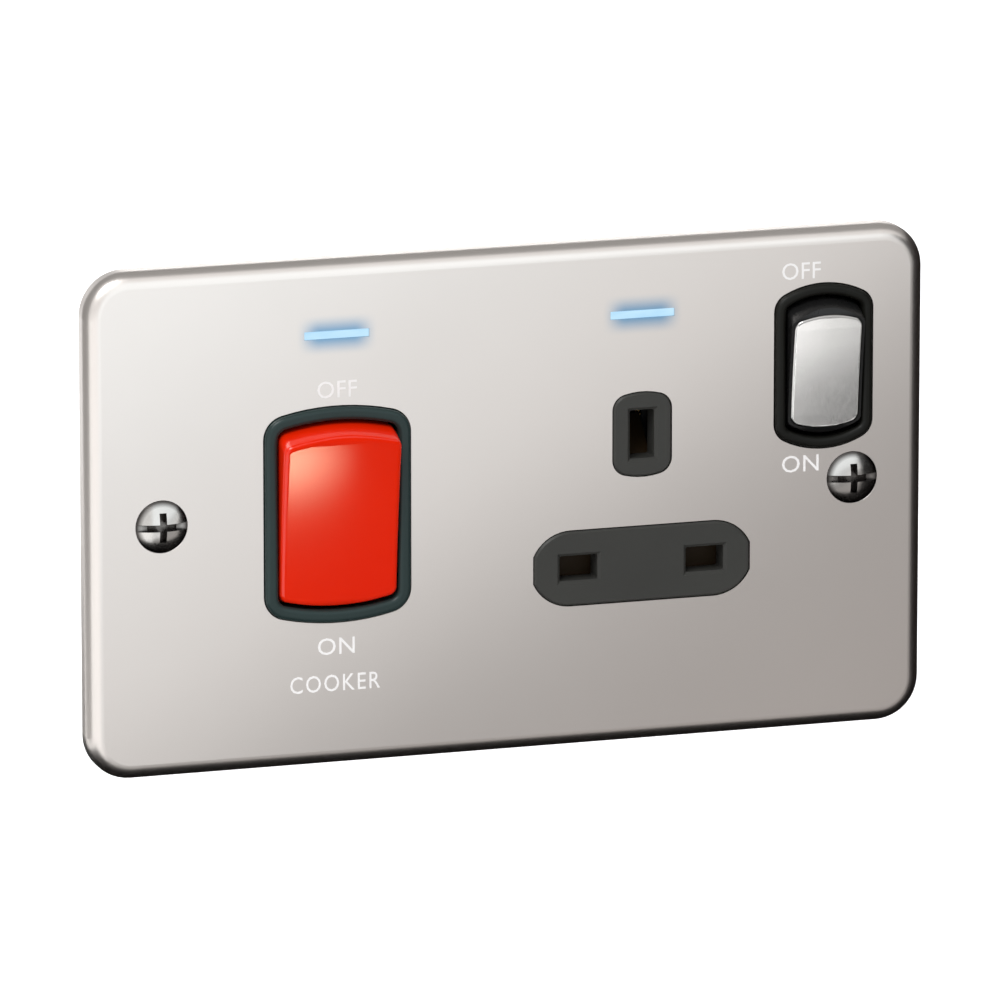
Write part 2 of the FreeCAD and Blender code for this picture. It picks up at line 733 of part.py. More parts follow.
def fixing_screw(x):
    """Raised countersunk screw with a slot and a cross in its head."""
    head = SCREW_HEAD / 2
    neck = SCREW_NECK / 2
    cone_back = FRONT + head - neck
    ball = (head ** 2 + SCREW_DOME ** 2) / (2 * SCREW_DOME)
    centre = at(x, FRONT - SCREW_DOME + ball, 0)
    ahead = FRONT - SCREW_DOME - PAST
    bound = block(about(x, SCREW_HEAD), (ahead, FRONT), about(0, SCREW_HEAD))
    dome = Part.makeSphere(ball, centre).common(bound)
    shape = union([
        dome,
        cone(head, neck, at(x, FRONT, 0), at(x, cone_back, 0)),
        rod(neck, at(x, cone_back, 0), at(x, SCREW_BARE, 0)),
        rod(SCREW_THREAD / 2, at(x, SCREW_BARE, 0), at(x, SCREW_LENGTH, 0)),
    ])
    y = (ahead, FRONT - SCREW_DOME + RECESS_DEPTH)
    slot_y = (ahead, FRONT)
    cuts = [
        block(about(x, RECESS_SLOT), y, about(0, RECESS_CROSS)),
        block(about(x, RECESS_CROSS), y, about(0, RECESS_SLOT)),
        block(about(x, SCREW_HEAD), slot_y, about(0, RECESS_SLOT)),
    ]
    return without(shape, cuts)


def nut(x, y, z):
    """Hexagon nut on a stud, with flats facing sideways."""
    corner = NUT_FLATS / math.sqrt(3)
    points = []
    for side in range(NUT_SIDES + 1):
        angle = 2 * math.pi * (side + 0.5) / NUT_SIDES
        points.append(at(x + corner * math.cos(angle), y, z + corner * math.sin(angle)))
    body = Part.Face(Part.makePolygon(points)).extrude(at(0, NUT_HEIGHT, 0))
    return body.cut(rod(STUD / 2 + BEARING_PLAY, at(x, y - PAST, z), at(x, y + NUT_HEIGHT + PAST, z)))


def lamp_ledges(x):
    """Rails behind the flange that hold a lamp board by its ends."""
    front = FLANGE_BACK + LAMP_FLANGE_SHEET + CHIP_HEIGHT
    y = (FLANGE_BACK - FLANGE / 2, front + BOARD_SHEET)
    rails = []
    for way in (-1, 1):
        edge = x + way * (BOARD_WIDTH / 2 + FORK_GAP / 2)
        sides = sorted((edge, edge + way * WALL))
        rails.append(block(sides, y, about(LAMP_RISE, BOARD_HEIGHT / 2)))
        lip = sorted((edge - way * WALL / 2, edge + way * WALL))
        rails.append(block(lip, (y[0], front), about(LAMP_RISE, BOARD_HEIGHT / 2)))
    return rails


def cooker_cover():
    """Flange, bezel ring, bearings and lamp rails in one moulding."""
    y = (PLATE_BACK, FLANGE_BACK)
    through = (y[0] - PAST, y[1] + PAST)
    flange = union([cooker_outline(y, 0)] + ears(COOKER_EARS, y, 0))
    cuts = [opening_cut(cooker), lamp_slot(COOKER_X, LAMP_PLAY, through)]
    flange = without(flange, cuts + stud_holes(COOKER_EARS, through))
    body = union([flange, bezel_ring(cooker)] + cheeks(cooker) + lamp_ledges(COOKER_X))
    return body.cut(bearing_holes(cooker))


def pocket_cuts(tunnels, wall_z, way):
    """Wire entry and screw hole of each tunnel terminal, through the walls of a base."""
    head = CLAMP_HEAD / 2 + SEAT_PLAY
    inner = wall_z - way * PAST
    outer = wall_z + way * (WALL + PAST)
    cuts = []
    for x, z in tunnels:
        cuts.append(rod(WIRE_ENTRY / 2, at(x, BORE_DEPTH, inner), at(x, BORE_DEPTH, outer)))
        cuts.append(rod(head, at(x, CAVITY_BACK - PAST, z), at(x, BODY_BACK + PAST, z)))
    return cuts


def link_notches():
    """Slots that let the two links through walls and barriers."""
    play = SEAT_PLAY
    z = (LINK_Z[0] - play, LINK_Z[1] + play)
    reach = (TUNNEL_X[0], NEUTRAL_X)
    return [
        block((COOKER_X + PAST, reach[1]), (NEAR_LINK[0] - play, NEAR_LINK[1] + play), z),
        block(reach, (FAR_LINK[0] - play, FAR_LINK[1] + play), z),
    ]


def cooker_base():
    """Rear moulding of the cooker switch: pole cells, strip shelves and terminal pockets."""
    floor = (FLANGE_BACK, BODY_BACK)
    outer = cooker_outline(floor, 0)
    outer = outer.makeChamfer(BODY_BEVEL, edges_at(outer, BODY_BACK))
    cavity = block(
        (COOKER_SIDES[0] + WALL, COOKER_SIDES[1] - WALL), (FLANGE_BACK - PAST, CAVITY_BACK),
        (COOKER_BOTTOM + WALL, BODY_TOP - WALL))
    y = (FLANGE_BACK, FLANGE_BACK + EAR_SHEET)
    shell = union([outer.cut(cavity)] + ears(COOKER_EARS, y, 0))
    swing = cooker.rocker[1] / 2 * math.sin(math.radians(COOKER_TILT))
    rib_front = PIVOT + ROCKER_SKIRT + swing + WALL / 2
    height = (COOKER_BOTTOM + WALL / 2, BODY_TOP - WALL / 2)
    rib = block(about(COOKER_X, BARRIER), (rib_front, CAVITY_BACK + PAST / 2), height)
    adds = [rib]
    shelf = (COOKER_SIDES[0] + WALL / 2, COOKER_SIDES[1] - WALL / 2)
    for z in (SHELF_RISE, LOAD_START - BORE_LENGTH / 2):
        adds.append(block(shelf, (cooker.strip_back, CAVITY_BACK + PAST / 2), (z, z + BARRIER)))
    base = union([shell] + adds)
    loads = [(x, (LOAD_START + LOAD_END) / 2) for x in TUNNEL_X]
    supplies = [(x, (SUPPLY_START + SUPPLY_END) / 2) for x in TUNNEL_X]
    cuts = pocket_cuts(loads, BODY_TOP - WALL, 1) + pocket_cuts(supplies, COOKER_BOTTOM + WALL, -1)
    cuts += link_notches() + stud_holes(COOKER_EARS, (FLANGE_BACK - PAST, y[1] + PAST))
    return without(base, cuts)


def socket_cover():
    """Front moulding of the outlet: bosses, apertures, bezel, bearings and shutter guides."""
    y = (PLATE_BACK, FLANGE_BACK)
    flange = union([socket_outline(y, 0)] + ears(SOCKET_EARS, y, 0))
    through = (y[0] - PAST, y[1] + PAST)
    cuts = [opening_cut(socket), lamp_slot(OUTLET_X, LAMP_PLAY, through)]
    flange = without(flange, cuts + stud_holes(SOCKET_EARS, through))
    face = FRONT - BOSS_PROUD
    back = face + APERTURE_DEPTH
    boss = prism(outlet_edges(0, face), (face, back))
    boss = boss.makeChamfer(BOSS_PROUD, edges_at(boss, face))
    earth = bowed_prism(EARTH_BOSS, (face, back), OUTLET_X, EARTH_RISE)
    earth = earth.makeChamfer(BOSS_PROUD, edges_at(earth, face))
    behind = cheeks(socket) + lamp_ledges(OUTLET_X) + guides()
    body = union([flange, bezel_ring(socket), boss, earth] + behind)
    return without(body, apertures() + [bearing_holes(socket)])


def rectangle(x, z, width, height, y):
    left, right = about(x, width)
    low, high = about(z, height)
    corners = [at(left, y, low), at(right, y, low), at(right, y, high), at(left, y, high), at(left, y, low)]
    return Part.makePolygon(corners)


def aperture(x, z, width, height):
    """Straight slot with a bevelled mouth."""
    face = FRONT - BOSS_PROUD
    slot = rounded_prism(width, height, APERTURE_ROUND, (face - PAST, face + APERTURE_DEPTH + PAST), x, z)
    rim = rectangle(x, z, width + 2 * APERTURE_BEVEL, height + 2 * APERTURE_BEVEL, face)
    throat = rectangle(x, z, width, height, face + APERTURE_BEVEL)
    return slot.fuse(Part.makeLoft([rim, throat], True, True))


def apertures():
    flat = LIVE_PIN_WIDTH + 2 * APERTURE_PLAY
    thick = PIN_THICK + 2 * APERTURE_PLAY
    tall = EARTH_PIN_HEIGHT + 2 * APERTURE_PLAY
    return [
        aperture(LIVE_X, PIN_RISE, flat, thick),
        aperture(NEUTRAL_X, PIN_RISE, flat, thick),
        aperture(OUTLET_X, EARTH_RISE, thick, tall),
    ]


def stem_half():
    return PIN_THICK / 2 + APERTURE_PLAY + SHUTTER_MARGIN


def guides():
    """Rails beside the shutter's stem and the seat of its spring."""
    y = (FLANGE_BACK - FLANGE / 2, SHUTTER_BACK)
    low = PIN_RISE + PIN_THICK / 2 + APERTURE_PLAY + SHUTTER_MARGIN + SEAT_PLAY
    z = (low, EARTH_RISE - EARTH_PIN_HEIGHT)
    inner = stem_half() + SHUTTER_PLAY
    rails = []
    for way in (-1, 1):
        x = sorted((OUTLET_X + way * inner, OUTLET_X + way * (inner + SHUTTER_GUIDE)))
        rails.append(block(x, y, z))
    seat = spring_seat()
    width = about(OUTLET_X, SHUTTER_SPRING + SHUTTER_GUIDE)
    rails.append(block(width, (y[0], spring_depth() + SHUTTER_SPRING / 2), (seat - SHUTTER_GUIDE, seat)))
    return rails


def crossbar_bottom():
    return PIN_RISE - PIN_THICK / 2 - APERTURE_PLAY - SHUTTER_MARGIN


def spring_depth():
    """Depth of the shutter spring's axis, flush with the front of the shutter."""
    return SHUTTER_FRONT + SHUTTER_SPRING / 2


def spring_seat():
    return crossbar_bottom() - SHUTTER_SPRING_LENGTH - SPRING_SEAT


def shutter():
    """Sliding shutter: a crossbar over two apertures and a ramp that the earth pin pushes down."""
    half = PIN_PITCH / 2 + LIVE_PIN_WIDTH / 2 + APERTURE_PLAY + SHUTTER_MARGIN
    y = (SHUTTER_FRONT, SHUTTER_BACK)
    top = PIN_RISE + PIN_THICK / 2 + APERTURE_PLAY + SHUTTER_MARGIN
    bar = block(about(OUTLET_X, 2 * half), y, (crossbar_bottom(), top))
    ramp_low = EARTH_RISE - EARTH_PIN_HEIGHT / 2 - APERTURE_PLAY
    stem = block(about(OUTLET_X, 2 * stem_half()), y, (top - PAST, ramp_low))
    foot = ramp_low - SHUTTER_TRAVEL / 2
    points = [
        at(OUTLET_X - stem_half(), SHUTTER_FRONT, foot),
        at(OUTLET_X - stem_half(), SHUTTER_FRONT, ramp_low),
        at(OUTLET_X - stem_half(), RAMP_BACK, ramp_low + SHUTTER_TRAVEL),
        at(OUTLET_X - stem_half(), RAMP_BACK, foot),
    ]
    wedge = Part.Face(Part.makePolygon(points + points[:1])).extrude(at(2 * stem_half(), 0, 0))
    return union([bar, stem, wedge])


def sleeve_cell(x, z, width, height, front, open_side):
    """Moulded cell round a pin sleeve, open where its tag comes out."""
    play = SEAT_PLAY
    outer = block(
        about(x, width + 2 * (play + SHUTTER_GUIDE)), (front + SHUTTER_SHEET, CAVITY_BACK + PAST / 2),
        about(z, height + 2 * (play + SHUTTER_GUIDE)))
    inner = block(
        about(x, width + 2 * play), (front, CAVITY_BACK), about(z, height + 2 * play))
    wide = width + 2 * (play + SHUTTER_GUIDE) + PAST
    tall = height + 2 * (play + SHUTTER_GUIDE) + PAST
    if open_side == "top":
        gap = block(about(x, wide), (front, CAVITY_BACK), (LINK_Z[0] - play, z + tall))
    else:
        gap = block((x - wide, x - width / 2 + SHUTTER_GUIDE), (front, CAVITY_BACK), about(z, tall))
    return without(outer, [inner, gap])


def live_sleeve_size():
    grip = 2 * (SLEEVE_PLAY + SLEEVE_SHEET)
    return (LIVE_PIN_WIDTH + grip, PIN_THICK + grip)


def earth_sleeve_size():
    grip = 2 * (SLEEVE_PLAY + SLEEVE_SHEET)
    return (PIN_THICK + grip, EARTH_PIN_HEIGHT + grip)


def socket_base():
    """Rear moulding of the outlet, with sleeve cells and shelves for the strips."""
    main_cut = block(
        (SOCKET_LEFT + WALL, SOCKET_STEP_X - WALL), (FLANGE_BACK - PAST, CAVITY_BACK),
        (SOCKET_BOTTOM + WALL, BODY_TOP - WALL))
    wing_cut = block(
        (SOCKET_STEP_X - EAR, SOCKET_RIGHT - WALL), (FLANGE_BACK - PAST, CAVITY_BACK),
        (SOCKET_STEP_Z + WALL, BODY_TOP - WALL))
    y = (FLANGE_BACK, FLANGE_BACK + EAR_SHEET)
    outer = socket_outline((FLANGE_BACK, BODY_BACK), 0)
    outer = outer.makeChamfer(BODY_BEVEL, edges_at(outer, BODY_BACK))
    shell = without(outer, [main_cut, wing_cut])
    live_size = live_sleeve_size()
    earth_size = earth_sleeve_size()
    deep = CAVITY_BACK + PAST / 2
    adds = [
        sleeve_cell(LIVE_X, PIN_RISE, live_size[0], live_size[1], SLEEVE_FRONT, "top"),
        sleeve_cell(NEUTRAL_X, PIN_RISE, live_size[0], live_size[1], SLEEVE_FRONT, "top"),
        sleeve_cell(OUTLET_X, EARTH_RISE, earth_size[0], earth_size[1], EARTH_FRONT, "side"),
    ]
    shelf_z = about(load_strip_rise(), BARRIER)
    adds.append(block((LOAD_LANE, SOCKET_RIGHT - WALL / 2), (socket.strip_back, deep), shelf_z))
    post_x = about(SUPPLY_LANE, BARRIER)
    adds.append(block(post_x, (socket.strip_back, deep), (0, SOCKET_SWITCH_Z - SOCKET_ARM)))
    base = union([shell] + adds + ears(SOCKET_EARS, y, 0))
    tunnel = [(EARTH_TUNNEL_X, (LOAD_START + LOAD_END) / 2)]
    cuts = pocket_cuts(tunnel, BODY_TOP - WALL, 1) + link_notches()
    cuts += stud_holes(SOCKET_EARS, (FLANGE_BACK - PAST, y[1] + PAST))
    play = SEAT_PLAY
    boss_back = FRONT - BOSS_PROUD + APERTURE_DEPTH
    cuts.append(prism(outlet_edges(play, FLANGE_BACK - PAST), (FLANGE_BACK - PAST, boss_back + play)))
    cuts.append(block(
        (SOCKET_LEFT - EAR, SOCKET_LEFT + WALL + PAST), (STRAP[0] - play, STRAP[1] + play),
        about(EAR_RISE, STRIP_WIDTH + 2 * play)))
    return without(base, cuts)


def tunnel_terminal(x, z):
    """Brass block with a wire bore along Z and a tapped hole from the rear."""
    body = block(about(x, TUNNEL_WIDTH), (TUNNEL_FRONT, TUNNEL_BACK), z)
    bore = rod(BORE / 2, at(x, BORE_DEPTH, z[0] - PAST), at(x, BORE_DEPTH, z[1] + PAST))
    middle = (z[0] + z[1]) / 2
    tapped = rod(CLAMP_SCREW / 2, at(x, BORE_DEPTH, middle), at(x, TUNNEL_BACK + PAST, middle))
    return without(body, [bore, tapped])


def clamp_screw(x, z):
    """Slotted screw, backed off until its tip clears the bore."""
    middle = (z[0] + z[1]) / 2
    tip = BORE_DEPTH + BORE / 2
    under = tip + CLAMP_THREAD_LENGTH
    top = under + CLAMP_HEAD_HEIGHT
    body = union([
        rod(CLAMP_SCREW / 2, at(x, tip, middle), at(x, under, middle)),
        rod(CLAMP_HEAD / 2, at(x, under, middle), at(x, top, middle)),
    ])
    slot = block(about(x, CLAMP_HEAD + PAST), (top - CLAMP_SLOT, top + PAST), about(middle, CLAMP_SLOT))
    return body.cut(slot)


def supply_strip(x, tunnel_x):
    """Strip from a supply terminal to the fulcrum of one pole."""
    y = (cooker.strip_front, cooker.strip_back)
    left = min(x - COOKER_BAR_WIDTH / 2, tunnel_x - TUNNEL_WIDTH / 2)
    right = max(x + COOKER_BAR_WIDTH / 2, tunnel_x + TUNNEL_WIDTH / 2)
    tail = block((left, right), y, (SUPPLY_END, COOKER_STRIP / 2))
    return union([tail, fulcrum(cooker, x)])


def load_strip(x, tunnel_x):
    """Strip from the fixed contact of one pole to its load terminal."""
    y = (cooker.strip_front, cooker.strip_back)
    left = min(x - COOKER_BAR_WIDTH / 2, tunnel_x - TUNNEL_WIDTH / 2)
    right = max(x + COOKER_BAR_WIDTH / 2, tunnel_x + TUNNEL_WIDTH / 2)
    tail = block((left, right), y, (COOKER_ARM + cooker.tip, LOAD_END))
    return union([fixed_pad(cooker, x), tail])


def neutral_link():
    """Straight link from the near pole to the neutral sleeve."""
    right_edge = NEUTRAL_X + TAG_WIDTH / 2
    return block((TUNNEL_X[1], right_edge), NEAR_LINK, LINK_Z)


def live_link():
    """Cranked link from the far pole, behind the other link, to the socket switch."""
    foot = block((TUNNEL_X[0] - STRIP_WIDTH / 2, TUNNEL_X[0] + STRIP_WIDTH), NEAR_LINK, LINK_Z)
    bend_x = TUNNEL_X[0] + STRIP_WIDTH
    riser = block((bend_x - STRIP_SHEET, bend_x), (NEAR_LINK[0], FAR_LINK[1]), LINK_Z)
    run = block((bend_x - STRIP_SHEET, SUPPLY_LANE + STRIP_WIDTH / 2), FAR_LINK, LINK_Z)
    return union([foot, riser, run])


def load_strip_rise():
    return SOCKET_SWITCH_Z + SOCKET_ARM + (SOCKET_TIP + STRIP_WIDTH) / 2


def socket_supply_strip():
    """Strip from the live link up to the fulcrum of the socket switch."""
    y = (socket.strip_front, socket.strip_back)
    lane = about(SUPPLY_LANE, STRIP_WIDTH)
    bar = about(SOCKET_SWITCH_X, SOCKET_BAR_WIDTH)
    turn = SOCKET_SWITCH_Z - SOCKET_ARM
    low = LINK_Z[0] - STRIP_SHEET
    return union([
        fulcrum(socket, SOCKET_SWITCH_X),
        block(bar, y, (turn - STRIP_WIDTH, SOCKET_SWITCH_Z + STRIP_SHEET / 2)),
        block((lane[0], SOCKET_SWITCH_X), y, (turn - STRIP_WIDTH, turn)),
        block(lane, y, (low, turn)),
        block(lane, (y[0], FAR_LINK[0]), (low, LINK_Z[0])),
        block(lane, (FAR_LINK[0] - STRIP_SHEET, FAR_LINK[0]), (low, LINK_Z[1])),
    ])


def socket_load_strip():
    """Strip from the fixed contact of the socket switch, past its lamp, to the live sleeve."""
    y = (socket.strip_front, socket.strip_back)
    rise = about(load_strip_rise(), STRIP_WIDTH)
    bar = about(SOCKET_SWITCH_X, SOCKET_BAR_WIDTH)
    lane = about(LOAD_LANE, STRIP_WIDTH)
    low = sleeve_top() - SLEEVE_SHEET + PAST
    return union([
        fixed_pad(socket, SOCKET_SWITCH_X),
        block(bar, y, (SOCKET_SWITCH_Z + SOCKET_ARM + socket.tip, rise[1])),
        block((lead_places(OUTLET_X)[1] - STRIP_WIDTH / 2, SOCKET_SWITCH_X), y, rise),
        block(lane, y, (low, rise[1])),
        block((LIVE_X - TAG_WIDTH / 2, lane[1]), y, (low, low + STRIP_WIDTH)),
    ])


def sleeve_top():
    return PIN_RISE + PIN_THICK / 2 + SLEEVE_PLAY + SLEEVE_SHEET


def sleeve(x, z, size, y, slit_side):
    """Folded sleeve round a pin, with a slit along one side."""
    body = block(about(x, size[0]), y, about(z, size[1]))
    long = (y[0] - PAST, y[1] + PAST)
    grip = 2 * SLEEVE_SHEET
    hollow = block(about(x, size[0] - grip), long, about(z, size[1] - grip))
    if slit_side == "bottom":
        slit = block(about(x, SLEEVE_SLIT), long, (z - size[1], z))
    else:
        slit = block((x, x + size[0]), long, about(z, SLEEVE_SLIT))
    return without(body, [hollow, slit])


def pin_contact(x, strip_front):
    """Sleeve of a line pin and the tag that carries it to its strip."""
    size = live_sleeve_size()
    y = (SLEEVE_FRONT, SLEEVE_FRONT + SLEEVE_LENGTH)
    top = sleeve_top()
    low = top - SLEEVE_SHEET
    neck = block(about(x, TAG_WIDTH), (y[1] - PAST, strip_front), (low, top))
    tag = block(about(x, TAG_WIDTH), (strip_front - STRIP_SHEET, strip_front), (low, top + STRIP_WIDTH))
    return union([sleeve(x, PIN_RISE, size, y, "bottom"), neck, tag])


def earth_contact():
    """Sleeve of the earth pin, with its tag turned to the left."""
    size = earth_sleeve_size()
    y = (EARTH_FRONT, EARTH_FRONT + SLEEVE_LENGTH)
    left = OUTLET_X - size[0] / 2
    z = about(EARTH_RISE, TAG_WIDTH)
    neck = block((left, left + SLEEVE_SHEET), (y[1] - PAST, max(STRAP[0], y[1])), z)
    tag = block((left - STRIP_WIDTH / 2, left + SLEEVE_SHEET), (STRAP[0] - STRIP_SHEET, STRAP[0]), z)
    return union([sleeve(OUTLET_X, EARTH_RISE, size, y, "side"), neck, tag])


def earth_strap():
    """Strap from the earth sleeve to the earth terminal and round to a stud of the plate."""
    size = earth_sleeve_size()
    lane = about(EARTH_TUNNEL_X, STRIP_WIDTH)
    stud_x, stud_z = SOCKET_EARS[0]
    right = OUTLET_X - size[0] / 2
    eye_y = (FLANGE_BACK + EAR_SHEET, FLANGE_BACK + EAR_SHEET + STRIP_SHEET)
    leg = (SOCKET_LEFT - SEAT_PLAY - STRIP_SHEET, SOCKET_LEFT - SEAT_PLAY)
    z = about(stud_z, STRIP_WIDTH)
    strap = union([
        block((lane[0], right), STRAP, about(EARTH_RISE, TAG_WIDTH)),
        block(lane, STRAP, (EARTH_RISE - TAG_WIDTH / 2, LOAD_END)),
        block((leg[0], lane[1]), STRAP, z),
        block(leg, (eye_y[0], STRAP[1]), z),
        block((stud_x - STRIP_WIDTH / 2 - STRIP_SHEET, leg[1]), eye_y, about(stud_z, NUT_FLATS)),
    ])
    return without(strap, stud_holes([SOCKET_EARS[0]], (eye_y[0] - PAST, eye_y[1] + PAST)))


def light_pipe(x):
    """Clear blade that shows at the plate's face, with a foot behind the flange."""
    blade = lamp_slot(x, 0, (FRONT, FLANGE_BACK))
    foot_y = (FLANGE_BACK, FLANGE_BACK + LAMP_FLANGE_SHEET)
    return union([blade, lamp_slot(x, LAMP_FLANGE, foot_y)])


def lamp_board(x):
    front = FLANGE_BACK + LAMP_FLANGE_SHEET + CHIP_HEIGHT
    return block(about(x, BOARD_WIDTH), (front, front + BOARD_SHEET), about(LAMP_RISE, BOARD_HEIGHT))


def lamp_chips(x):
    front = FLANGE_BACK + LAMP_FLANGE_SHEET
    y = (front, front + CHIP_HEIGHT)
    z = about(LAMP_RISE, CHIP_WIDTH)
    return [block(about(place, CHIP_WIDTH), y, z) for place in about(x, CHIP_PITCH)]


def lead_places(x):
    return about(x, BOARD_WIDTH - STRIP_WIDTH)


def lead_start():
    return FLANGE_BACK + LAMP_FLANGE_SHEET + CHIP_HEIGHT + BOARD_SHEET


def lead_ring(x, y, z, heading):
    """Section of a lead, square to a heading that turns from +Y down to -Z."""
    points = []
    for side in range(WIRE_SIDES + 1):
        angle = 2 * math.pi * side / WIRE_SIDES
        off = LEAD / 2 * math.sin(angle)
        across = x + LEAD / 2 * math.cos(angle)
        points.append(at(across, y + off * math.sin(heading), z + off * math.cos(heading)))
    return Part.makePolygon(points)


def straight_lead(x, end):
    rings = [lead_ring(x, y, LAMP_RISE, 0) for y in (lead_start(), end)]
    return Part.makeLoft(rings, True, True)


def bent_lead(x, bend_depth, end_z, end_depth):
    """Lead that runs back, down behind the shutter and back again to the neutral link."""
    turns = [math.pi / 2 * step / BEND_STEPS for step in range(BEND_STEPS + 1)]
    rings = [lead_ring(x, lead_start(), LAMP_RISE, 0)]
    for turn in turns:
        y = bend_depth - LEAD_BEND * (1 - math.sin(turn))
        rings.append(lead_ring(x, y, LAMP_RISE - LEAD_BEND * (1 - math.cos(turn)), turn))
    for turn in reversed(turns):
        y = bend_depth + LEAD_BEND * (1 - math.sin(turn))
        rings.append(lead_ring(x, y, end_z + LEAD_BEND * (1 - math.cos(turn)), turn))
    rings.append(lead_ring(x, end_depth, end_z, 0))
    return Part.makeLoft(rings, True, True)


def cap_area(play):
    """Prism over the face of the socket rocker, as wide and high as its cap, grown by a play."""
    size = grown((CAP_WIDTH, CAP_HEIGHT, CAP_CORNER, CAP_END), play)
    return bowed_prism(size, (PIVOT - 2 * socket.face, PIVOT), socket.x, socket.z)


def rocker_cap():
    """Metal skin with a rounded rim on the face of the socket rocker, before it is tipped."""
    solid = cap_area(0).common(rocker_section(socket, 0, PIVOT))
    cap = solid.cut(rocker_section(socket, CAP_SHEET, PIVOT + PAST))
    return cap.makeFillet(CAP_ROUND, rim_edges(cap))


def cooker_rocker():
    """Rocker rounded all round its face."""
    body = rocker_body(cooker, 0)
    return hollowed(cooker, body.makeFillet(ROCKER_ROUND, rim_edges(body)))


def socket_rocker():
    """Rocker whose face is a seat with a low border for the cap."""
    seat = cap_area(BEARING_PLAY).cut(rocker_section(socket, CAP_SHEET, PIVOT + PAST))
    return hollowed(socket, rocker_body(socket, CAP_PROUD)).cut(seat)


def tipped(shape, switch):
    return turned(shape, switch.tilt, switch.pivot())


def build():
    """All sub-parts at rest, with both rockers switched on."""
    nodes = {
        "face_plate": face_plate(),
        "plate_liner": plate_liner(),
        "fixing_screws": [fixing_screw(x) for x in screw_places()],
        "cooker_cover": cooker_cover(),
        "cooker_base": cooker_base(),
        "cooker_rocker": tipped(cooker_rocker(), cooker),
        "socket_cover": socket_cover(),
        "socket_base": socket_base(),
        "socket_rocker": tipped(socket_rocker(), socket),
        "socket_rocker_cap": tipped(rocker_cap(), socket),
        "shutter": shutter(),
    }
    nut_seat = FLANGE_BACK + EAR_SHEET
    bonded = SOCKET_EARS[0]
    nuts = [nut(x, nut_seat, z) for x, z in COOKER_EARS + SOCKET_EARS[1:]]
    nuts.append(nut(bonded[0], nut_seat + STRIP_SHEET, bonded[1]))
    nodes["plate_nuts"] = nuts

    springs = []
    tips = []
    for name, x, tunnel_x in zip(("left", "right"), cooker.pole_x, TUNNEL_X):
        nodes["cooker_plunger_" + name] = tipped(plunger(cooker, x), cooker)
        springs.append(tipped(plunger_spring(cooker, x), cooker))
        nodes["cooker_contact_" + name] = bar_rest(contact_bar(cooker, x), cooker)
        nodes["cooker_moving_tip_" + name] = bar_rest(button(cooker, x, 0), cooker)
        tips.append(bar_rest(button(cooker, x, TIP_SHEET + CONTACT_PLAY), cooker))
        nodes["supply_strip_" + name] = supply_strip(x, tunnel_x)
        nodes["load_strip_" + name] = load_strip(x, tunnel_x)
        nodes["supply_terminal_" + name] = tunnel_terminal(tunnel_x, (SUPPLY_END, SUPPLY_START))
        nodes["load_terminal_" + name] = tunnel_terminal(tunnel_x, (LOAD_START, LOAD_END))
    nodes["cooker_springs"] = springs
    nodes["cooker_fixed_tips"] = tips
    nodes["earth_terminal"] = tunnel_terminal(EARTH_TUNNEL_X, (LOAD_START, LOAD_END))
    screws = [clamp_screw(x, (LOAD_START, LOAD_END)) for x in TUNNEL_X + [EARTH_TUNNEL_X]]
    screws += [clamp_screw(x, (SUPPLY_END, SUPPLY_START)) for x in TUNNEL_X]
    nodes["terminal_screws"] = screws

    pole = SOCKET_SWITCH_X
    nodes["socket_plunger"] = tipped(plunger(socket, pole), socket)
    nodes["socket_spring"] = tipped(plunger_spring(socket, pole), socket)
    nodes["socket_contact"] = bar_rest(contact_bar(socket, pole), socket)
    nodes["socket_moving_tip"] = bar_rest(button(socket, pole, 0), socket)
    nodes["socket_fixed_tip"] = bar_rest(button(socket, pole, TIP_SHEET + CONTACT_PLAY), socket)
    nodes["socket_supply_strip"] = socket_supply_strip()
    nodes["socket_load_strip"] = socket_load_strip()
    nodes["live_contact"] = pin_contact(LIVE_X, socket.strip_front)
    nodes["neutral_contact"] = pin_contact(NEUTRAL_X, NEAR_LINK[0])
    nodes["earth_contact"] = earth_contact()
    nodes["earth_strap"] = earth_strap()
    nodes["live_link"] = live_link()
    nodes["neutral_link"] = neutral_link()
    spring_base = at(OUTLET_X, spring_depth(), spring_seat() + SPRING_SEAT / 2)
    coil_radius = (SHUTTER_SPRING - SPRING_WIRE) / 2
    nodes["shutter_spring"] = coil(coil_radius, SHUTTER_SPRING_LENGTH, spring_base, at(0, 0, 1))

    for name, x in (("cooker", COOKER_X), ("socket", OUTLET_X)):
        nodes[name + "_light_pipe"] = light_pipe(x)
        nodes[name + "_lamp_board"] = lamp_board(x)
        nodes[name + "_lamp_chips"] = lamp_chips(x)
    nodes["cooker_lamp_leads"] = [straight_lead(x, cooker.strip_front) for x in lead_places(COOKER_X)]
    neutral_x, live_x = lead_places(OUTLET_X)
    bend_depth = STRAP[0] - STRIP_SPACE
    nodes["socket_lamp_leads"] = [
        bent_lead(neutral_x, bend_depth, LINK_RISE, NEAR_LINK[0]),
        straight_lead(live_x, socket.strip_front),
    ]
    return nodes


os.makedirs(OUT_DIR, exist_ok=True)
for node, shape in build().items():
    solid = Part.makeCompound(shape) if isinstance(shape, list) else shape
    solid.exportStep(os.path.join(OUT_DIR, node + ".step"))
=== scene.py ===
import json
import math

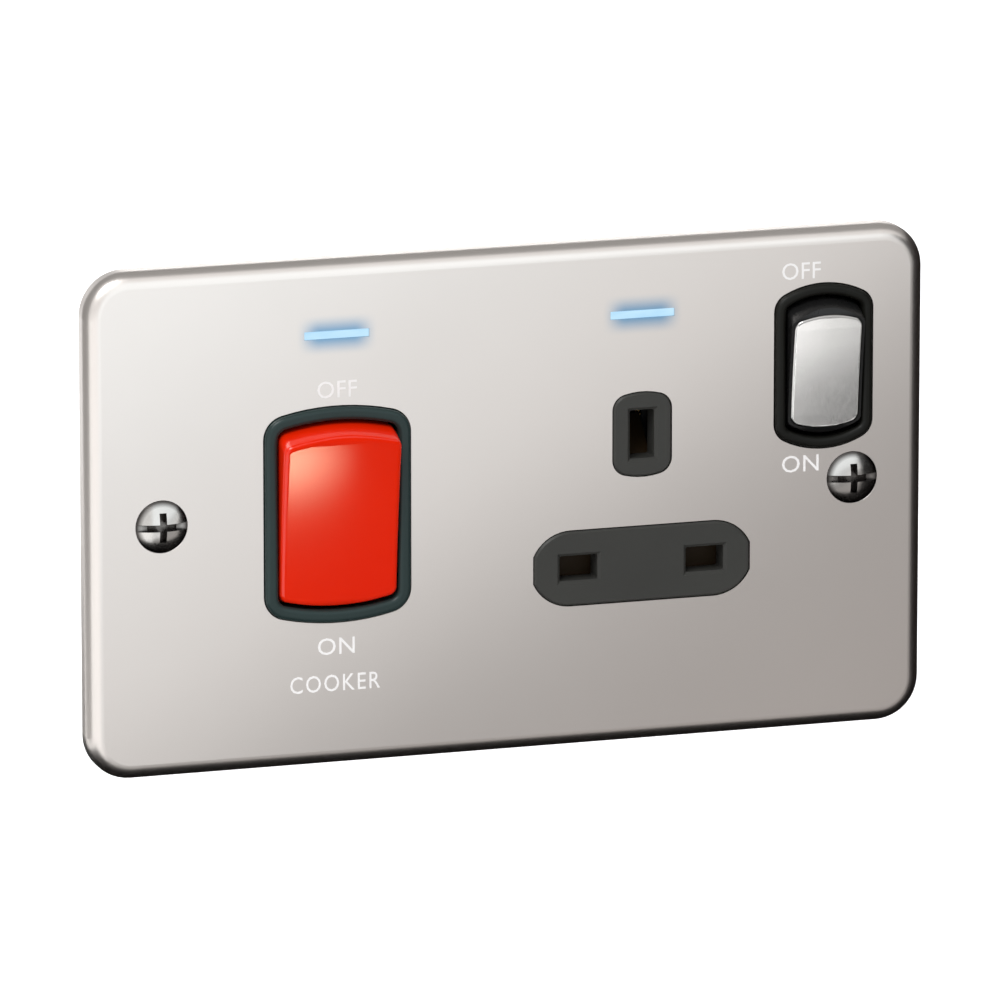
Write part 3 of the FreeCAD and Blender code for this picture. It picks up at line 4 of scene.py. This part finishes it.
import bmesh
import bpy
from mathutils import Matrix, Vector


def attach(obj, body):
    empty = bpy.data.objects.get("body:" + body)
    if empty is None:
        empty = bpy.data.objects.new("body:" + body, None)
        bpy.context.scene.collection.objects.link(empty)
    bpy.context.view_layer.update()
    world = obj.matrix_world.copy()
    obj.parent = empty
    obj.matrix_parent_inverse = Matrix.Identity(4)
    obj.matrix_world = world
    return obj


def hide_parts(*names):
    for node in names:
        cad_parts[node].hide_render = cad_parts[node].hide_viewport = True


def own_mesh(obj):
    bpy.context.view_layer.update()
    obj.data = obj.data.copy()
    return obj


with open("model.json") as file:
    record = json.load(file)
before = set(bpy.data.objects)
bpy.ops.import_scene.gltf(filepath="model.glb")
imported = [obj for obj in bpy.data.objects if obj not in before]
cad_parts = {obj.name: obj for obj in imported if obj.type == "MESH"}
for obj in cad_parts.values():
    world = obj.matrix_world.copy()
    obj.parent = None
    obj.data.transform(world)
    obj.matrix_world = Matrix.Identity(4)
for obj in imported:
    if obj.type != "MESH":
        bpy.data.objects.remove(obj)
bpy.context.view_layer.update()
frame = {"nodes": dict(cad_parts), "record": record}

MM = 0.001

# Front of the plate, and places of the lamps, screws and words, in millimetres.
PLATE_FACE = -4.4
COOKER_X = -30.0
OUTLET_X = 23.15
SCREW_X = 60.3
LAMP_RISE = 30.55
# Reach of the painted blue glow beside each lamp's line.
PAINTED_GLOW_HALF_LENGTH = 6.4
PAINTED_GLOW_RISE = 3.6
LETTER_HEIGHT = 3.0
CAPITAL_PART = 0.73  # height of a capital for a font size of 1
INK = 0.03
SCREW_SHADE_RING = (3.4, 4.2)  # radii between which a painted shade ring darkens the foot of a screw's head
POLISH_START = (43.2, 43.6)  # across these the outlet's grey turns to the switch's black


# Nodes

def link(tree, source, target):
    tree.links.new(source, target)


def shader_of(mat):
    return mat.node_tree.nodes["Principled BSDF"]


def material(name):
    mat = bpy.data.materials.new(name)
    mat.use_nodes = True
    return mat, mat.node_tree, shader_of(mat)


def object_place(tree):
    return tree.nodes.new("ShaderNodeTexCoord").outputs["Object"]


def axes(tree, place):
    """The X, Y and Z of a place."""
    split = tree.nodes.new("ShaderNodeSeparateXYZ")
    link(tree, place, split.inputs["Vector"])
    return split.outputs


def calculated(tree, operation, *values, clamp=False):
    """Result of one operation on outputs and numbers."""
    node = tree.nodes.new("ShaderNodeMath")
    node.operation = operation
    node.use_clamp = clamp
    for socket, value in zip(node.inputs, values):
        if isinstance(value, float):
            socket.default_value = value
        else:
            link(tree, value, socket)
    return node.outputs[0]


def moved(tree, operation, place, other=None):
    """Outputs of one operation on a place and a fixed vector."""
    node = tree.nodes.new("ShaderNodeVectorMath")
    node.operation = operation
    link(tree, place, node.inputs[0])
    if other is not None:
        node.inputs[1].default_value = other
    return node.outputs


def noise(tree, place, scale, detail=3.0, roughness=0.55, stretch=(1, 1, 1)):
    mapping = tree.nodes.new("ShaderNodeMapping")
    mapping.inputs["Scale"].default_value = stretch
    link(tree, place, mapping.inputs["Vector"])
    tex = tree.nodes.new("ShaderNodeTexNoise")
    tex.inputs["Scale"].default_value = scale
    tex.inputs["Detail"].default_value = detail
    tex.inputs["Roughness"].default_value = roughness
    link(tree, mapping.outputs["Vector"], tex.inputs["Vector"])
    return tex.outputs["Fac"]


def spread(tree, value, low, high, start=0.3, end=0.7, smooth=False):
    """The value moved from one range to another, clamped."""
    node = tree.nodes.new("ShaderNodeMapRange")
    if smooth:
        node.interpolation_type = "SMOOTHSTEP"
    node.inputs["From Min"].default_value = start
    node.inputs["From Max"].default_value = end
    node.inputs["To Min"].default_value = low
    node.inputs["To Max"].default_value = high
    link(tree, value, node.inputs["Value"])
    return node.outputs["Result"]


def stepped(tree, value, stops):
    """Piecewise straight curve through pairs of value and result."""
    total = stops[0][1]
    for (x0, y0), (x1, y1) in zip(stops, stops[1:]):
        total = calculated(tree, "ADD", total, spread(tree, value, 0.0, y1 - y0, x0, x1))
    return total


def mixed(tree, factor, first, second):
    """Colour between two colours or outputs."""
    node = tree.nodes.new("ShaderNodeMix")
    node.data_type = "RGBA"
    link(tree, factor, node.inputs["Factor"])
    for socket, value in ((node.inputs["A"], first), (node.inputs["B"], second)):
        if isinstance(value, tuple):
            socket.default_value = (*value, 1)
        else:
            link(tree, value, socket)
    return node.outputs["Result"]


def bump(tree, shader, height, strength, distance):
    node = tree.nodes.new("ShaderNodeBump")
    node.inputs["Strength"].default_value = strength
    node.inputs["Distance"].default_value = distance
    link(tree, height, node.inputs["Height"])
    link(tree, node.outputs["Normal"], shader.inputs["Normal"])


def seen_rays(tree):
    """1 for rays from the camera, a gloss or a clear piece, else 0."""
    rays = tree.nodes.new("ShaderNodeLightPath").outputs
    value = rays["Is Camera Ray"]
    for other in ("Is Glossy Ray", "Is Transmission Ray"):
        value = calculated(tree, "MAXIMUM", value, rays[other])
    return value


# Materials

def metal(name, colour, dull, rough, grain=4000.0, stretch=(1, 1, 1)):
    """Plated or bare metal with cloudy colour and a fine grain."""
    mat, tree, shader = material(name)
    place = object_place(tree)
    cloud = noise(tree, place, 60.0, 4.0)
    link(tree, mixed(tree, spread(tree, cloud, 0, 1), colour, dull), shader.inputs["Base Color"])
    shader.inputs["Metallic"].default_value = 1.0
    fine = noise(tree, place, grain, 2.0, 0.6, stretch)
    link(tree, spread(tree, fine, rough - 0.04, rough + 0.05), shader.inputs["Roughness"])
    bump(tree, shader, fine, 0.25, 0.00001)
    return mat


def flowed(tree, place, colour, shade):
    """Colour of a moulding, with the faint pattern of its flow."""
    flow = noise(tree, place, 35.0, 3.0, 0.5, (1.0, 0.6, 1.6))
    return mixed(tree, spread(tree, flow, 0, 1), colour, shade)


def moulding(name, colour, shade, rough, coat=0.0, grain=2200.0, strength=0.2, shine=0.5):
    """Moulded plastic with a faint flow pattern and a fine skin."""
    mat, tree, shader = material(name)
    place = object_place(tree)
    link(tree, flowed(tree, place, colour, shade), shader.inputs["Base Color"])
    fine = noise(tree, place, grain, 3.0)
    link(tree, spread(tree, fine, rough - 0.04, rough + 0.06), shader.inputs["Roughness"])
    shader.inputs["Specular IOR Level"].default_value = shine
    shader.inputs["Coat Weight"].default_value = coat
    shader.inputs["Coat Roughness"].default_value = 0.12
    bump(tree, shader, fine, strength, 0.00003)
    return mat


def painted_glow_amount(tree, place, middle_x):
    """How close a point of the plate is to a lamp's line, as the mask of a painted glow: 1 beside it and 0 away
    from it.
    """
    at = axes(tree, place)
    half = PAINTED_GLOW_HALF_LENGTH * MM

    def fall(value, centre, flat, reach):
        apart = calculated(tree, "ABSOLUTE", calculated(tree, "SUBTRACT", value, centre))
        return spread(tree, apart, 1.0, 0.0, flat, reach, smooth=True)

    across = fall(at["X"], middle_x * MM, half * 0.45, half * 1.12)
    along = fall(at["Z"], LAMP_RISE * MM, 0.0, PAINTED_GLOW_RISE * MM)
    return calculated(tree, "MULTIPLY", across, along)


def pearl_plate():
    """Satin pearl nickel, with the blue glow of the two lamps painted into its colour beside them."""
    mat, tree, shader = material("pearl_steel_look")
    place = object_place(tree)
    cloud = noise(tree, place, 25.0, 3.0)
    pearl = mixed(tree, spread(tree, cloud, 0, 1), (0.72, 0.675, 0.64), (0.70, 0.655, 0.62))
    # Painted light: the plate's colour turns blue beside each lamp. This stands in for the lamps' glow.
    painted_glow_parts = [painted_glow_amount(tree, place, x) for x in (COOKER_X, OUTLET_X)]
    painted_glow_mask = calculated(tree, "ADD", *painted_glow_parts, clamp=True)
    link(tree, mixed(tree, painted_glow_mask, pearl, (0.15, 0.32, 0.50)), shader.inputs["Base Color"])
    shader.inputs["Metallic"].default_value = 1.0
    fine = noise(tree, place, 5200.0, 2.0, 0.65)
    link(tree, spread(tree, fine, 0.29, 0.35), shader.inputs["Roughness"])
    bump(tree, shader, fine, 0.15, 0.00001)
    return mat


def lamp_blue():
    """Clear blade that shines pale blue."""
    mat, tree, shader = material("clear_blue_look")
    cells = noise(tree, object_place(tree), 260.0, 2.0, 0.5, (1, 1, 3))
    colour = mixed(tree, spread(tree, cells, 0, 1), (0.44, 0.72, 0.94), (0.54, 0.80, 0.97))
    shader.inputs["Base Color"].default_value = (0.05, 0.08, 0.10, 1)
    link(tree, colour, shader.inputs["Emission Color"])
    shader.inputs["Emission Strength"].default_value = 0.9
    shader.inputs["Roughness"].default_value = 0.25
    return mat


def red_gloss():
    """Lacquered red moulding."""
    mat = moulding(
        "red_moulding_look", (0.80, 0.018, 0.001), (0.76, 0.015, 0.001), 0.45, 1.0, strength=0.05, shine=0.0
    )
    shader_of(mat).inputs["Coat IOR"].default_value = 1.5
    shader_of(mat).inputs["Coat Roughness"].default_value = 0.13
    return mat


def socket_moulding():
    """Grey moulding of the outlet, polished and darker round the switch."""
    mat, tree, shader = material("socket_moulding_look")
    place = object_place(tree)
    polished = spread(tree, axes(tree, place)["X"], 0.0, 1.0, *(x * MM for x in POLISH_START))
    grey = flowed(tree, place, (0.046, 0.046, 0.042), (0.040, 0.040, 0.037))
    black = flowed(tree, place, (0.008, 0.008, 0.006), (0.006, 0.006, 0.005))
    link(tree, mixed(tree, polished, grey, black), shader.inputs["Base Color"])
    fine = noise(tree, place, 2200.0, 3.0)
    link(tree, spread(tree, fine, 0.34, 0.44), shader.inputs["Roughness"])
    link(tree, spread(tree, polished, 0.18, 0.15, 0.0, 1.0), shader.inputs["Specular IOR Level"])
    bump(tree, shader, fine, 0.2, 0.00003)
    return mat


def screw_metal():
    """Nickel plate, with painted shade in its slots and round the foot of the head."""
    mat = metal("screw_steel_look", (0.66, 0.64, 0.61), (0.50, 0.48, 0.46), 0.20)
    tree = mat.node_tree
    plated = shader_of(mat).inputs["Base Color"].links[0].from_socket
    # Painted shade: ambient occlusion darkens the colour in the slots and at the foot of the head.
    hollow = tree.nodes.new("ShaderNodeAmbientOcclusion")
    hollow.samples = 8
    hollow.inputs["Distance"].default_value = 0.0025
    open_sky = spread(tree, hollow.outputs["AO"], 0.0, 1.0, 0.50, 0.96)
    painted_slot_shade = mixed(tree, open_sky, (0.030, 0.026, 0.024), plated)
    # Both screws are folded onto one side, and the depth is left out.
    at = axes(tree, object_place(tree))
    folded = tree.nodes.new("ShaderNodeCombineXYZ")
    link(tree, calculated(tree, "ABSOLUTE", at["X"]), folded.inputs["X"])
    link(tree, at["Z"], folded.inputs["Z"])
    away = moved(tree, "DISTANCE", folded.outputs["Vector"], (SCREW_X * MM, 0, 0))["Value"]
    # Painted shade ring: the colour darkens towards the foot of each head.
    painted_shade_ring = spread(tree, away, 1.0, 0.0, *(radius * MM for radius in SCREW_SHADE_RING))
    link(tree, mixed(tree, painted_shade_ring, (0.075, 0.068, 0.064), painted_slot_shade), shader_of(mat).inputs["Base Color"])
    return mat


MOULDINGS = {
    "dark_moulding": ((0.018, 0.035, 0.034), (0.014, 0.028, 0.027), 0.32, {"shine": 0.26}),
    "grey_moulding": ((0.050, 0.051, 0.049), (0.042, 0.043, 0.042), 0.48, {}),
    "liner_moulding": ((0.030, 0.030, 0.031), (0.022, 0.022, 0.023), 0.55, {}),
    "black_moulding": ((0.010, 0.010, 0.010), (0.007, 0.007, 0.007), 0.30, {"strength": 0.06, "shine": 0.3}),
    "board_green": ((0.020, 0.120, 0.045), (0.014, 0.090, 0.034), 0.40, {"coat": 0.4}),
    "chip_white": ((0.78, 0.77, 0.70), (0.70, 0.69, 0.60), 0.40, {}),
    "lead_white": ((0.72, 0.72, 0.70), (0.64, 0.64, 0.62), 0.42, {}),
    "white_nylon": ((0.76, 0.75, 0.70), (0.68, 0.67, 0.62), 0.42, {}),
    "brown_moulding": ((0.024, 0.013, 0.004), (0.018, 0.010, 0.003), 0.45, {"shine": 0.12}),
    "label_ink": ((0.93, 0.91, 0.90), (0.88, 0.86, 0.85), 0.5, {"grain": 3000.0}),
}
METALS = {
    "satin_metal": ((0.68, 0.67, 0.655), (0.60, 0.59, 0.575), 0.20, {"grain": 3500.0, "stretch": (6, 1, 0.3)}),
    "brass": ((0.80, 0.56, 0.24), (0.66, 0.43, 0.16), 0.28, {}),
    "silver_tip": ((0.88, 0.87, 0.84), (0.74, 0.73, 0.70), 0.30, {}),
    "spring_steel": ((0.55, 0.54, 0.52), (0.42, 0.41, 0.40), 0.28, {}),
    "plated_nut": ((0.72, 0.70, 0.62), (0.58, 0.56, 0.48), 0.30, {}),
}
LOOKS = {
    "pearl_steel": pearl_plate(),
    "screw_steel": screw_metal(),
    "red_moulding": red_gloss(),
    "clear_blue": lamp_blue(),
}
for maker, table in ((moulding, MOULDINGS), (metal, METALS)):
    for name, (colour, shade, rough, more) in table.items():
        LOOKS[name] = maker(name + "_look", colour, shade, rough, **more)

# Pieces whose look differs from that of others with the same slot.
OWN_LOOKS = {"socket_cover": socket_moulding()}

for name, node in frame["nodes"].items():
    for slot in node.material_slots:
        if name in OWN_LOOKS:
            slot.material = OWN_LOOKS[name]
        elif slot.material and slot.material.name in LOOKS:
            slot.material = LOOKS[slot.material.name]


# Springs and print

def in_scene(name, data):
    obj = bpy.data.objects.new(name, data)
    bpy.context.scene.collection.objects.link(obj)
    return obj


def yielding_spring(name, node, body, joint, side=0):
    """Coil that moves with its body; side -1 or 1 picks one of the cooker's pair."""
    mesh = frame["nodes"][node].data.copy()
    shape = bmesh.new()
    shape.from_mesh(mesh)
    if side:
        other = [v for v in shape.verts if (v.co.x - COOKER_X * MM) * side < 0]
        bmesh.ops.delete(shape, geom=other, context="VERTS")
    shape.to_mesh(mesh)
    shape.free()
    obj = in_scene(name, mesh)
    motion = next(j for j in frame["record"]["behaviour"]["joints"] if j["name"] == joint)
    way = Vector(motion["axis"]).normalized()
    along = [v.co.dot(way) for v in mesh.vertices]
    seat = sum((v.co for v in mesh.vertices), Vector()) / len(mesh.vertices)
    seat += way * (max(along) - seat.dot(way))
    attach(obj, body)
    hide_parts(node)
    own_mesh(obj)


yielding_spring("cooker_spring_left", "cooker_springs", "cooker_rocker", "cooker_plunger_left_slide", -1)
yielding_spring("cooker_spring_right", "cooker_springs", "cooker_rocker", "cooker_plunger_right_slide", 1)
yielding_spring("socket_spring_coil", "socket_spring", "socket_rocker", "socket_plunger_slide")
yielding_spring("shutter_spring_coil", "shutter_spring", "unit", "shutter_slide")


def letters(name, words, x, z, width, gap=1.05):
    """A printed word on the plate, stretched to its width."""
    curve = bpy.data.curves.new(name + "_curve", "FONT")
    curve.body = words
    curve.size = LETTER_HEIGHT * MM / CAPITAL_PART
    curve.space_character = gap
    curve.resolution_u = 3
    curve.extrude = INK * MM / 2
    text = in_scene(name + "_text", curve)
    bpy.context.view_layer.update()
    mesh = bpy.data.meshes.new_from_object(text.evaluated_get(bpy.context.evaluated_depsgraph_get()))
    bpy.data.objects.remove(text)
    xs = [v.co.x for v in mesh.vertices]
    ys = [v.co.y for v in mesh.vertices]
    middle = Vector(((min(xs) + max(xs)) / 2, (min(ys) + max(ys)) / 2, 0))
    stretch = width * MM / (max(xs) - min(xs))
    for v in mesh.vertices:
        local = v.co - middle
        v.co = (x * MM + stretch * local.x, (PLATE_FACE - INK / 2) * MM - local.z, z * MM + local.y)
    mesh.materials.clear()
    mesh.materials.append(LOOKS["label_ink"])
    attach(in_scene(name, mesh), "unit")


letters("print_cooker_off", "OFF", -30.0, 21.3, 6.8)
letters("print_cooker_on", "ON", -30.3, -22.5, 6.4)
letters("print_cooker", "COOKER", -30.5, -28.8, 15.6, 1.15)
letters("print_socket_off", "OFF", 51.1, 36.1, 6.8)
letters("print_socket_on", "ON", 51.1, 3.0, 6.5)


# Studio

def rectangle(*sides):
    """Corners of a rectangle square to the axes: two of the three sides are ranges, and one is a place."""
    corners = []
    for ends in ((0, 0), (1, 0), (1, 1), (0, 1)):
        picks = iter(ends)
        corners.append([side[next(picks)] if isinstance(side, tuple) else side for side in sides])
    return corners


def sheet(name, corners, mat):
    mesh = bpy.data.meshes.new(name)
    mesh.from_pydata(corners, [], [(0, 1, 2, 3)])
    mesh.materials.append(mat)
    return in_scene(name, mesh)


FLOOR_HALF = 20.0
FLOOR_Z = -0.20
floor_mat, floor_tree, floor_shader = material("floor_look")
floor_grain = noise(floor_tree, object_place(floor_tree), 8.0, 2.0)
floor_colour = mixed(floor_tree, floor_grain, (0.93, 0.93, 0.93), (0.95, 0.95, 0.95))
link(floor_tree, floor_colour, floor_shader.inputs["Base Color"])
floor_shader.inputs["Roughness"].default_value = 0.9
floor_shader.inputs["Specular IOR Level"].default_value = 0.0
floor_lift = mixed(floor_tree, seen_rays(floor_tree), (0.0, 0.0, 0.0), (0.40, 0.40, 0.40))
link(floor_tree, floor_lift, floor_shader.inputs["Emission Color"])
floor_shader.inputs["Emission Strength"].default_value = 1.0
floor = sheet("floor", rectangle((-FLOOR_HALF, FLOOR_HALF), (-FLOOR_HALF, FLOOR_HALF), 0), floor_mat)
floor.location = (0, 0, FLOOR_Z)


def card(name, corners, shade):
    """Studio card that shows in reflections alone."""
    mat, tree, shader = material(name + "_look")
    grain = noise(tree, object_place(tree), 3.0, 2.0)
    colour = mixed(tree, grain, tuple(0.92 * c for c in shade), shade)
    shader.inputs["Base Color"].default_value = (0, 0, 0, 1)
    shader.inputs["Specular IOR Level"].default_value = 0.0
    link(tree, colour, shader.inputs["Emission Color"])
    shader.inputs["Emission Strength"].default_value = 1.0
    obj = sheet(name, corners, mat)
    obj.visible_camera = False
    obj.visible_diffuse = False
    obj.visible_transmission = False
    obj.visible_shadow = False
    return obj


def slope_light(obj, direction, stops, tints=(), ends=()):
    """Light of a card that changes along a direction through stops of place and level."""
    mat = obj.data.materials[0]
    tree = mat.node_tree
    slope = moved(tree, "DOT_PRODUCT", object_place(tree), direction)["Value"]
    level = stepped(tree, slope, stops)
    if ends:
        at = axes(tree, object_place(tree))
        for axis, near, far in ends:
            level = calculated(tree, "MULTIPLY", level, spread(tree, at[axis], 1.0, 0.04, near, far))
    link(tree, level, shader_of(mat).inputs["Emission Strength"])
    if tints:
        along = spread(tree, slope, 0.0, 1.0, stops[0][0], stops[-1][0])
        link(tree, mixed(tree, along, *tints), shader_of(mat).inputs["Emission Color"])


def spot_light(obj, middle, flat, reach, stretch, strength):
    """Light of a card that is full within a distance of a point and gone beyond a longer one."""
    mat = obj.data.materials[0]
    tree = mat.node_tree
    apart = moved(tree, "SUBTRACT", object_place(tree), middle)["Vector"]
    length = moved(tree, "LENGTH", moved(tree, "MULTIPLY", apart, stretch)["Vector"])["Value"]
    link(tree, spread(tree, length, strength, 0.0, flat, reach), shader_of(mat).inputs["Emission Strength"])


def takers(obj, names, group_name):
    """Names the pieces that the card's light concerns."""
    group = bpy.data.collections.new(obj.name + group_name)
    for name in names:
        group.objects.link(frame["nodes"][name])
    obj.light_linking.receiver_collection = group
    return group


def kept_off(obj, *names):
    """Keeps the light of a card off the named pieces."""
    for entry in takers(obj, names, "_not_takers").collection_objects:
        entry.light_linking.link_state = "EXCLUDE"


def lit_alone(obj, *names):
    """Makes a card light only the named pieces, and lets all others look through it."""
    takers(obj, names, "_takers")
    mat = obj.data.materials[0]
    tree = mat.node_tree
    clear = tree.nodes.new("ShaderNodeBsdfTransparent")
    both = tree.nodes.new("ShaderNodeAddShader")
    link(tree, shader_of(mat).outputs["BSDF"], both.inputs[0])
    link(tree, clear.outputs["BSDF"], both.inputs[1])
    link(tree, both.outputs["Shader"], tree.nodes["Material Output"].inputs["Surface"])


WHITE = (1.0, 1.0, 1.0)
FRONT_Y = -0.15
FRONT_X_RANGE = (-0.09, 0.40)
FRONT_Z_RANGE = (-0.30, 0.16)

# Light on the plate. It falls off along a slope that starts where the plate's middle shows on the card.
SLOPE = (1 / 0.073, 0, -1 / 0.043)
SLOPE_START = 0.047 / 0.073 + 0.037 / 0.043
STOPS = [
    (-1.9, 1.48), (-1.2, 0.97), (-0.6, 1.15), (-0.2, 1.25), (0.05, 1.08),
    (0.35, 0.365), (0.9, 0.39), (1.2, 0.515), (1.8, 0.53),
]
front_card = card("front_card", rectangle(FRONT_X_RANGE, FRONT_Y, FRONT_Z_RANGE), WHITE)
slope_light(
    front_card,
    SLOPE,
    [(SLOPE_START + at, level) for at, level in STOPS],
    tints=((0.95, 1.0, 1.03), (1.04, 1.0, 0.985)),
    ends=(("X", 0.165, 0.185), ("Z", -0.170, -0.190)),
)
kept_off(front_card, "cooker_rocker", "socket_rocker_cap")

# Soft light on the switch cap, strongest where its upper left corner shows.
CAP_SLOPE = (60.0, 0, 92.0)
CAP_START = 60.0 * 0.105 - 92.0 * 0.0557
CAP_STOPS = [
    (-4.0, 0.7), (-2.2, 2.9), (-1.0, 3.0), (-0.6, 1.85), (0.0, 0.36), (0.35, 0.0), (2.0, 0.0), (3.2, 0.62),
]
cap_card = card("cap_card", rectangle(FRONT_X_RANGE, FRONT_Y + 0.001, FRONT_Z_RANGE), WHITE)
slope_light(cap_card, CAP_SLOPE, [(CAP_START + at, level) for at, level in CAP_STOPS])
lit_alone(cap_card, "socket_rocker_cap")

# Warm highlight on the upper left of the red switch.
GLINT_Y = -0.057
glint_card = card("glint_card", rectangle((-0.040, -0.003), GLINT_Y, (-0.030, -0.014)), (1.0, 0.93, 0.62))
spot_light(glint_card, (-0.0240, GLINT_Y, -0.0216), flat=0.003, reach=0.0135, stretch=(1, 1, 3.6), strength=20.0)
lit_alone(glint_card, "cooker_rocker")

# Dark cards at the right and below, and grey ones above and at the left, show in the plate's rolled edge.
card("right_card", rectangle(0.45, (-0.3, 0.8), (-0.19, 0.25)), (0.010, 0.007, 0.006))
card("low_card", rectangle((-0.25, 0.44), (-0.14, 0.6), -0.15), (0.004, 0.003, 0.003))
top_card = card("top_card", rectangle((-0.7, 0.8), (-0.12, 0.9), 0.4), (0.37, 0.365, 0.36))
left_card = card("left_card", rectangle(-0.5, (-0.10, 0.8), (-0.19, 0.35)), (0.38, 0.375, 0.37))
kept_off(top_card, "cooker_rocker")
kept_off(left_card, "cooker_rocker")


def area_light(name, place, energy, colour=WHITE):
    """Square lamp that aims at the object."""
    light = bpy.data.lights.new(name, "AREA")
    light.shape = "RECTANGLE"
    light.size = 0.9
    light.size_y = 0.9
    light.energy = energy
    light.color = colour
    obj = bpy.data.objects.new(name, light)
    obj.location = place
    obj.rotation_mode = "QUATERNION"
    obj.rotation_quaternion = (-Vector(place)).to_track_quat("-Z", "Y")
    obj.visible_camera = False
    bpy.context.scene.collection.objects.link(obj)


area_light("key_light", (-0.8, -0.85, 1.45), 21.5, (0.98, 0.99, 1.0))
area_light("back_light", (0.6, 1.2, 0.9), 9.0)

world = bpy.data.worlds.new("studio")
world.use_nodes = True
sky_tree = world.node_tree
sky = sky_tree.nodes["Background"]
link(sky_tree, mixed(sky_tree, seen_rays(sky_tree), (0.53, 0.53, 0.53), WHITE), sky.inputs["Color"])
sky.inputs["Strength"].default_value = 1.0
bpy.context.scene.world = world

# Camera at the photograph's angle: long lens, slightly above and to the left.
AZIMUTH = math.radians(-17.37)
ELEVATION = math.radians(13.32)
DISTANCE = 1.8574
TARGET = Vector((-0.0003757, 0, -0.0006546))
SENSOR_MM = 36.0
FOCAL_PER_SENSOR = 11.116

towards_camera = Vector((
    math.sin(AZIMUTH) * math.cos(ELEVATION),
    -math.cos(AZIMUTH) * math.cos(ELEVATION),
    math.sin(ELEVATION),
))
camera_data = bpy.data.cameras.new("camera")
camera_data.sensor_width = SENSOR_MM
camera_data.lens = SENSOR_MM * FOCAL_PER_SENSOR
camera_data.clip_start = 0.05
camera_data.clip_end = 60.0
camera = in_scene("camera", camera_data)
camera.rotation_mode = "QUATERNION"
camera.location = TARGET + towards_camera * DISTANCE
camera.rotation_quaternion = (-towards_camera).to_track_quat("-Z", "Y")
bpy.context.scene.camera = camera
bpy.context.scene.view_settings.view_transform = "Standard"
